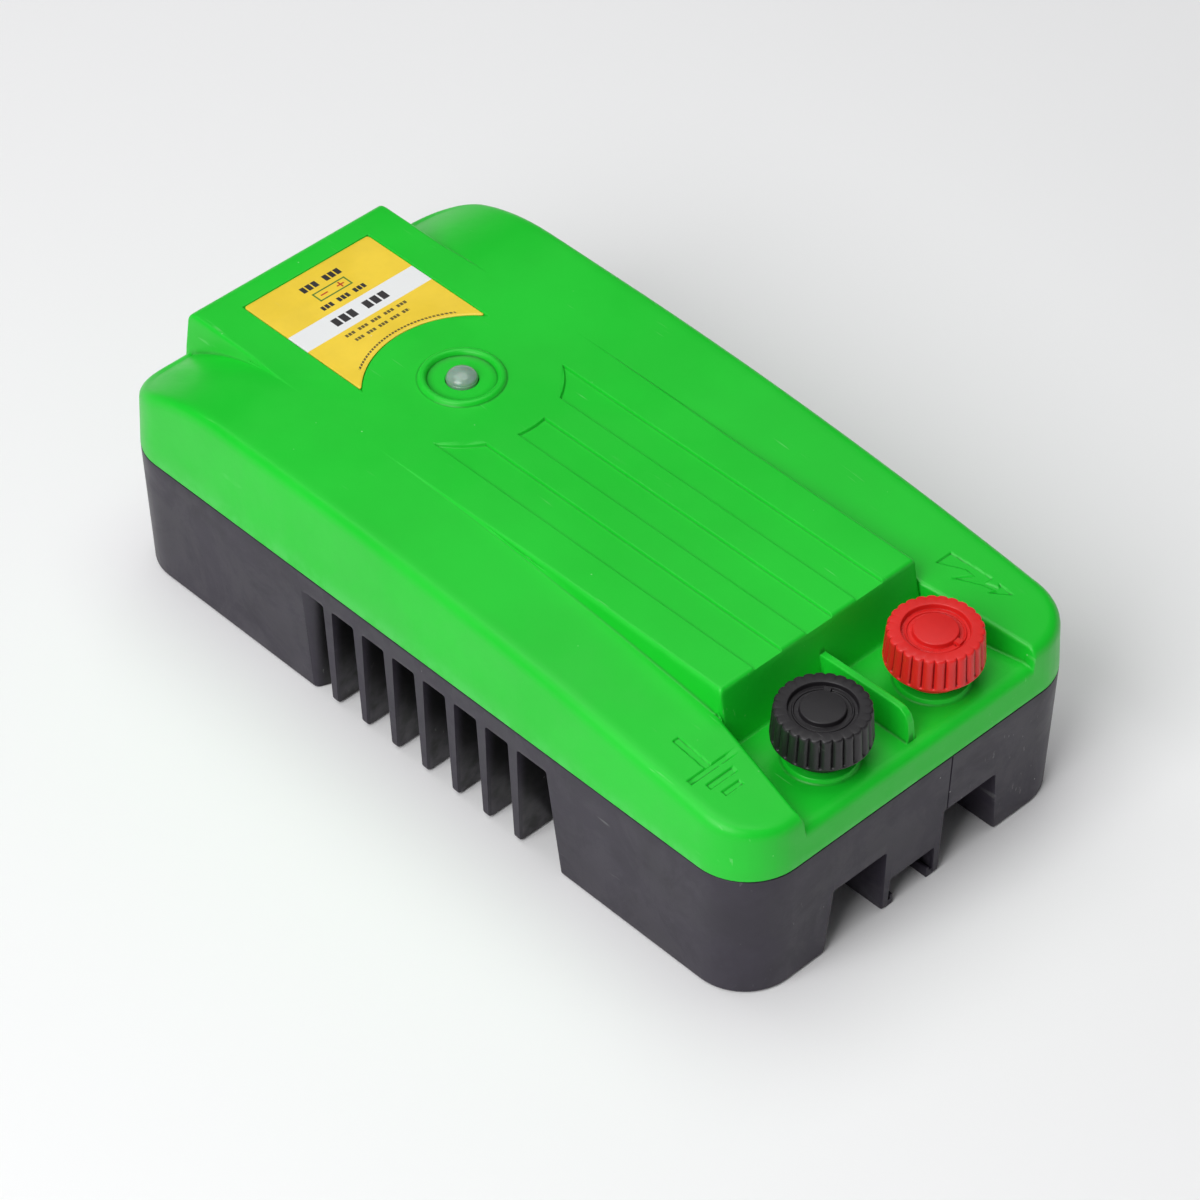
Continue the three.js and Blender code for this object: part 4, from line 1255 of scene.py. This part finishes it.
makeKnob("knob_earth", "knob_black", math.radians(35))
makeKnob("knob_fence", "knob_red", math.radians(-80))


lens = {
    "domeRadius": 4.4,
    "domeHeight": 2.4,
    "flange": 6.2,
    "flangeHeight": 1.8,
    "stem": 4.5,
    "sides": 72,
}


def makeLens():  # a flange, a stem and half an ellipse, turned about Z
    low, high = nodeBox("led_lens")
    centre = ((low[0] + high[0]) / 2, (low[1] + high[1]) / 2, 0.0)
    bottom, top = low[2], high[2]
    step, stem = bottom + lens["flangeHeight"], lens["stem"]
    corners = [(0, bottom), (lens["flange"], bottom), (lens["flange"], step), (stem, step),
               (stem, top - 2.5)]
    body = roundedProfile(corners, [0.2, 0.2, 0.2])
    t = np.linspace(0, math.pi / 2, 14)
    height = top - lens["domeHeight"] + lens["domeHeight"] * np.sin(t)
    dome = np.stack([lens["domeRadius"] * np.cos(t), height], axis=1)
    surface = turnedSurface(np.concatenate([body, dome]), lens["sides"], centre)
    return makePiece("lamp_lens", surface, "housing", "lens_grey", ["led_lens"])


label = {
    "arcGap": 0.25,
    "corner": 1.0,
    "edgeDrop": 0.08,
    "edgeWidth": 0.15,
}


def makeLabel():
    # a flat sheet with rounded corners and one hollow end round the lamp; its edge is turned down
    low, high = nodeBox("label_plate")
    half, rear, arc = high[0], high[1], cover["labelArc"] + label["arcGap"]
    corner = label["corner"]
    ends = half - corner + corner * np.sin(np.linspace(0, math.pi / 2, 8))
    u = np.concatenate([-ends[::-1], np.linspace(-half + corner, half - corner, 46)[1:-1], ends])
    over = np.clip(np.abs(u) - (half - corner), 0, corner)
    cut = corner - np.sqrt(corner**2 - over**2)
    front = cover["labelArcY"] + np.sqrt(arc**2 - u**2) + cut
    back = rear - cut
    v = np.concatenate([[0, 0.004], np.linspace(0.03, 0.97, 30), [0.996, 1]])
    x = np.repeat(u[:, None], len(v), axis=1)
    y = front[:, None] * (1 - v) + back[:, None] * v
    inside = np.minimum(half - np.abs(x), np.minimum(y - front[:, None], back[:, None] - y))
    top = high[2] - label["edgeDrop"] * (1 - np.clip(inside / label["edgeWidth"], 0, 1))
    surface = Surface()
    upper = surface.add(x, y, top)
    lower = surface.add(x, y, np.full(x.shape, low[2]))
    surface.grid(upper)
    surface.grid(lower)
    surface.band(edgeLoop(upper), edgeLoop(lower))
    return makePiece("label_sheet", surface, "housing", "label_yellow", ["label_plate"])


inlet = {
    "barrel": 6.0,
    "flange": 8.6,
    "flangeThick": 1.4,
    "mouth": 4.4,
    "bore": 3.0,
    "boreEnd": 3.5,  # height of the bore's blind end over the back
    "rounds": (0.2, 0.1, 0.35, 0.25, 0.2, 0.3, 0.1),
    "sides": 64,
}


def makeInlet():  # the socket's barrel, flange and blind bore, one profile turned about Y
    low, high = nodeBox("supply_inlet")
    back, face = low[1], high[1]
    barrel, flange, bore = inlet["barrel"], inlet["flange"], inlet["bore"]
    shoulder, end = face - inlet["flangeThick"], back + inlet["boreEnd"]
    corners = [(barrel, back), (barrel, shoulder), (flange, shoulder), (flange, face), (inlet["mouth"], face),
               (4.0, face - 0.8), (bore, face - 1.0), (bore, end), (0, end)]
    section = np.concatenate([[(0, back)], roundedProfile(corners, inlet["rounds"], 4)])
    surface = turnedSurface(section, inlet["sides"], (inletX, 0.0, inletZ), axis=1)
    return makePiece("socket_body", surface, "housing", "can_black", ["supply_inlet"])


washer = {
    "bore": 3.3,
    "rounds": (0.15, 0.3, 0.3, 0.15),
    "sides": 64,
}


def makeWasher(name, body):  # a rounded rectangle turned about Z
    low, high = nodeBox(name)
    centre = ((low[0] + high[0]) / 2, (low[1] + high[1]) / 2, 0.0)
    bore, outer = washer["bore"], (high[0] - low[0]) / 2
    bottom, top = low[2], high[2]
    seam = (bore, top - 0.6)
    corners = [seam, (bore, bottom), (outer, bottom), (outer, top), (bore, top), seam]
    section = roundedProfile(corners, washer["rounds"], 4)[:-1]
    surface = turnedSurface(section, washer["sides"], centre, closed=True)
    return makePiece(name + "_disc", surface, body, "zinc_steel", [name])


makeLens()
makeLabel()
makeInlet()
for end in ("earth", "fence"):
    makeWasher("clamp_washer_" + end, "clamp_" + end)
print("small pieces made")


studio = {
    "sheet": {  # lengths in metres, level is the radius of its level part
        "radius": 7.0,
        "level": 3.0,
        "lift": 1.0,
        "glowFrom": 1.2,
        "glowTo": 3.2,
        "glow": 0.78,
    },
    "floorColour": (247, 247, 248),
    "world": 0.08,
    "aim": (0, 0, 0.03),
    "lights": {
        "keyLight": {"place": (-1.3, -0.2, 1.3), "size": (1.2, 1.2), "power": 25.0},
        "topLight": {"place": (0.1, 0.3, 1.7), "size": (1.6, 1.6), "power": 16.0},
        "fillLight": {"place": (0.9, -1.3, 0.9), "size": (1.2, 1.0), "power": 0.2},
    },
}


def makeFloor():
    # one round sheet, level with the feet. Far out it rises with the square of the distance, so a low view
    # still ends on pale paper. A faint glow there makes up for the lamps' fall-off.
    sheet, colour = studio["sheet"], studio["floorColour"]
    radius, angle = np.meshgrid(np.linspace(0, 1, 40)**2 * sheet["radius"], np.linspace(0, 2 * math.pi, 73))
    lift = sheet["lift"] * np.clip((radius - sheet["level"]) / (sheet["radius"] - sheet["level"]), 0, 1)**2
    surface = Surface()
    surface.grid(surface.add(radius * np.cos(angle), radius * np.sin(angle), lift - 0.00002))
    mesh = bpy.data.meshes.new("floor")
    mesh.from_pydata(np.concatenate(surface.points).tolist(), [], np.concatenate(surface.quads).tolist())
    work = bmesh.new()
    work.from_mesh(mesh)
    bmesh.ops.remove_doubles(work, verts=work.verts, dist=1e-6)
    bmesh.ops.dissolve_degenerate(work, edges=work.edges, dist=1e-7)
    work.to_mesh(mesh)
    work.free()
    mesh.polygons.foreach_set("use_smooth", np.ones(len(mesh.polygons), bool))
    floor = bpy.data.objects.new("floor", mesh)
    bpy.context.collection.objects.link(floor)
    material, tree, shader = startMaterial("floorPaper", colour)
    place = objectPlace(tree)
    clouds = add(tree, "ShaderNodeTexNoise", {"Vector": place, "Scale": 3.0}).outputs[0]
    tint = blend(tree, clouds, linear(colour), linear([c - 3 for c in colour]))
    away = add(tree, "ShaderNodeVectorMath", {0: place}, operation="LENGTH").outputs["Value"]
    far = remap(tree, away, sheet["glowFrom"], sheet["glowTo"])
    glow = blend(tree, far, (0, 0, 0, 1), (sheet["glow"],) * 3 + (1,))
    tree.links.new(tint, shader.inputs["Base Color"])
    tree.links.new(glow, shader.inputs["Emission Color"])
    shader.inputs["Emission Strength"].default_value = 1.0
    shader.inputs["Roughness"].default_value = 0.9
    shader.inputs["Specular IOR Level"].default_value = 0.1
    mesh.materials.append(material)


def makeLight(name, light):
    lamp = bpy.data.lights.new(name, "AREA")
    lamp.energy = light["power"]
    lamp.shape = "RECTANGLE"
    lamp.size, lamp.size_y = light["size"]
    holder = bpy.data.objects.new(name, lamp)
    bpy.context.collection.objects.link(holder)
    holder.location = light["place"]
    direction = np.array(studio["aim"]) - np.array(light["place"])
    yaw = math.atan2(direction[1], direction[0]) - math.pi / 2
    pitch = math.atan2(math.hypot(direction[0], direction[1]), -direction[2])
    holder.rotation_euler = (pitch, 0, yaw)


def makeStudio():
    makeFloor()
    for name, light in studio["lights"].items():
        makeLight(name, light)
    world = bpy.data.worlds.new("studioWorld")
    bpy.context.scene.world = world
    world.use_nodes = True
    background = world.node_tree.nodes["Background"]
    background.inputs["Color"].default_value = (1, 1, 1, 1)
    background.inputs["Strength"].default_value = studio["world"]
    bpy.context.scene.view_settings.view_transform = "Standard"
    bpy.context.scene.view_settings.look = "None"


view = {
    "azimuth": -43.87,
    "elevation": 42.98,
    "distance": 1.2723,
    "aim": (-0.00312, -0.00801, 0.030),
    "lens": 139.2,
}


def makeCamera():
    turn, tilt = math.radians(view["azimuth"]), math.radians(view["elevation"])
    camera = bpy.data.cameras.new("camera")
    camera.lens = view["lens"]
    camera.sensor_width = 36.0
    camera.clip_start, camera.clip_end = 0.05, 20.0
    holder = bpy.data.objects.new("camera", camera)
    bpy.context.collection.objects.link(holder)
    back = np.array([math.sin(turn) * math.cos(tilt), -math.cos(turn) * math.cos(tilt), math.sin(tilt)])
    holder.location = np.array(view["aim"]) + back * view["distance"]
    holder.rotation_euler = (math.pi / 2 - tilt, 0, turn)
    bpy.context.scene.camera = holder


makeStudio()
makeCamera()
print("studio made")

bpy.context.view_layer.update()
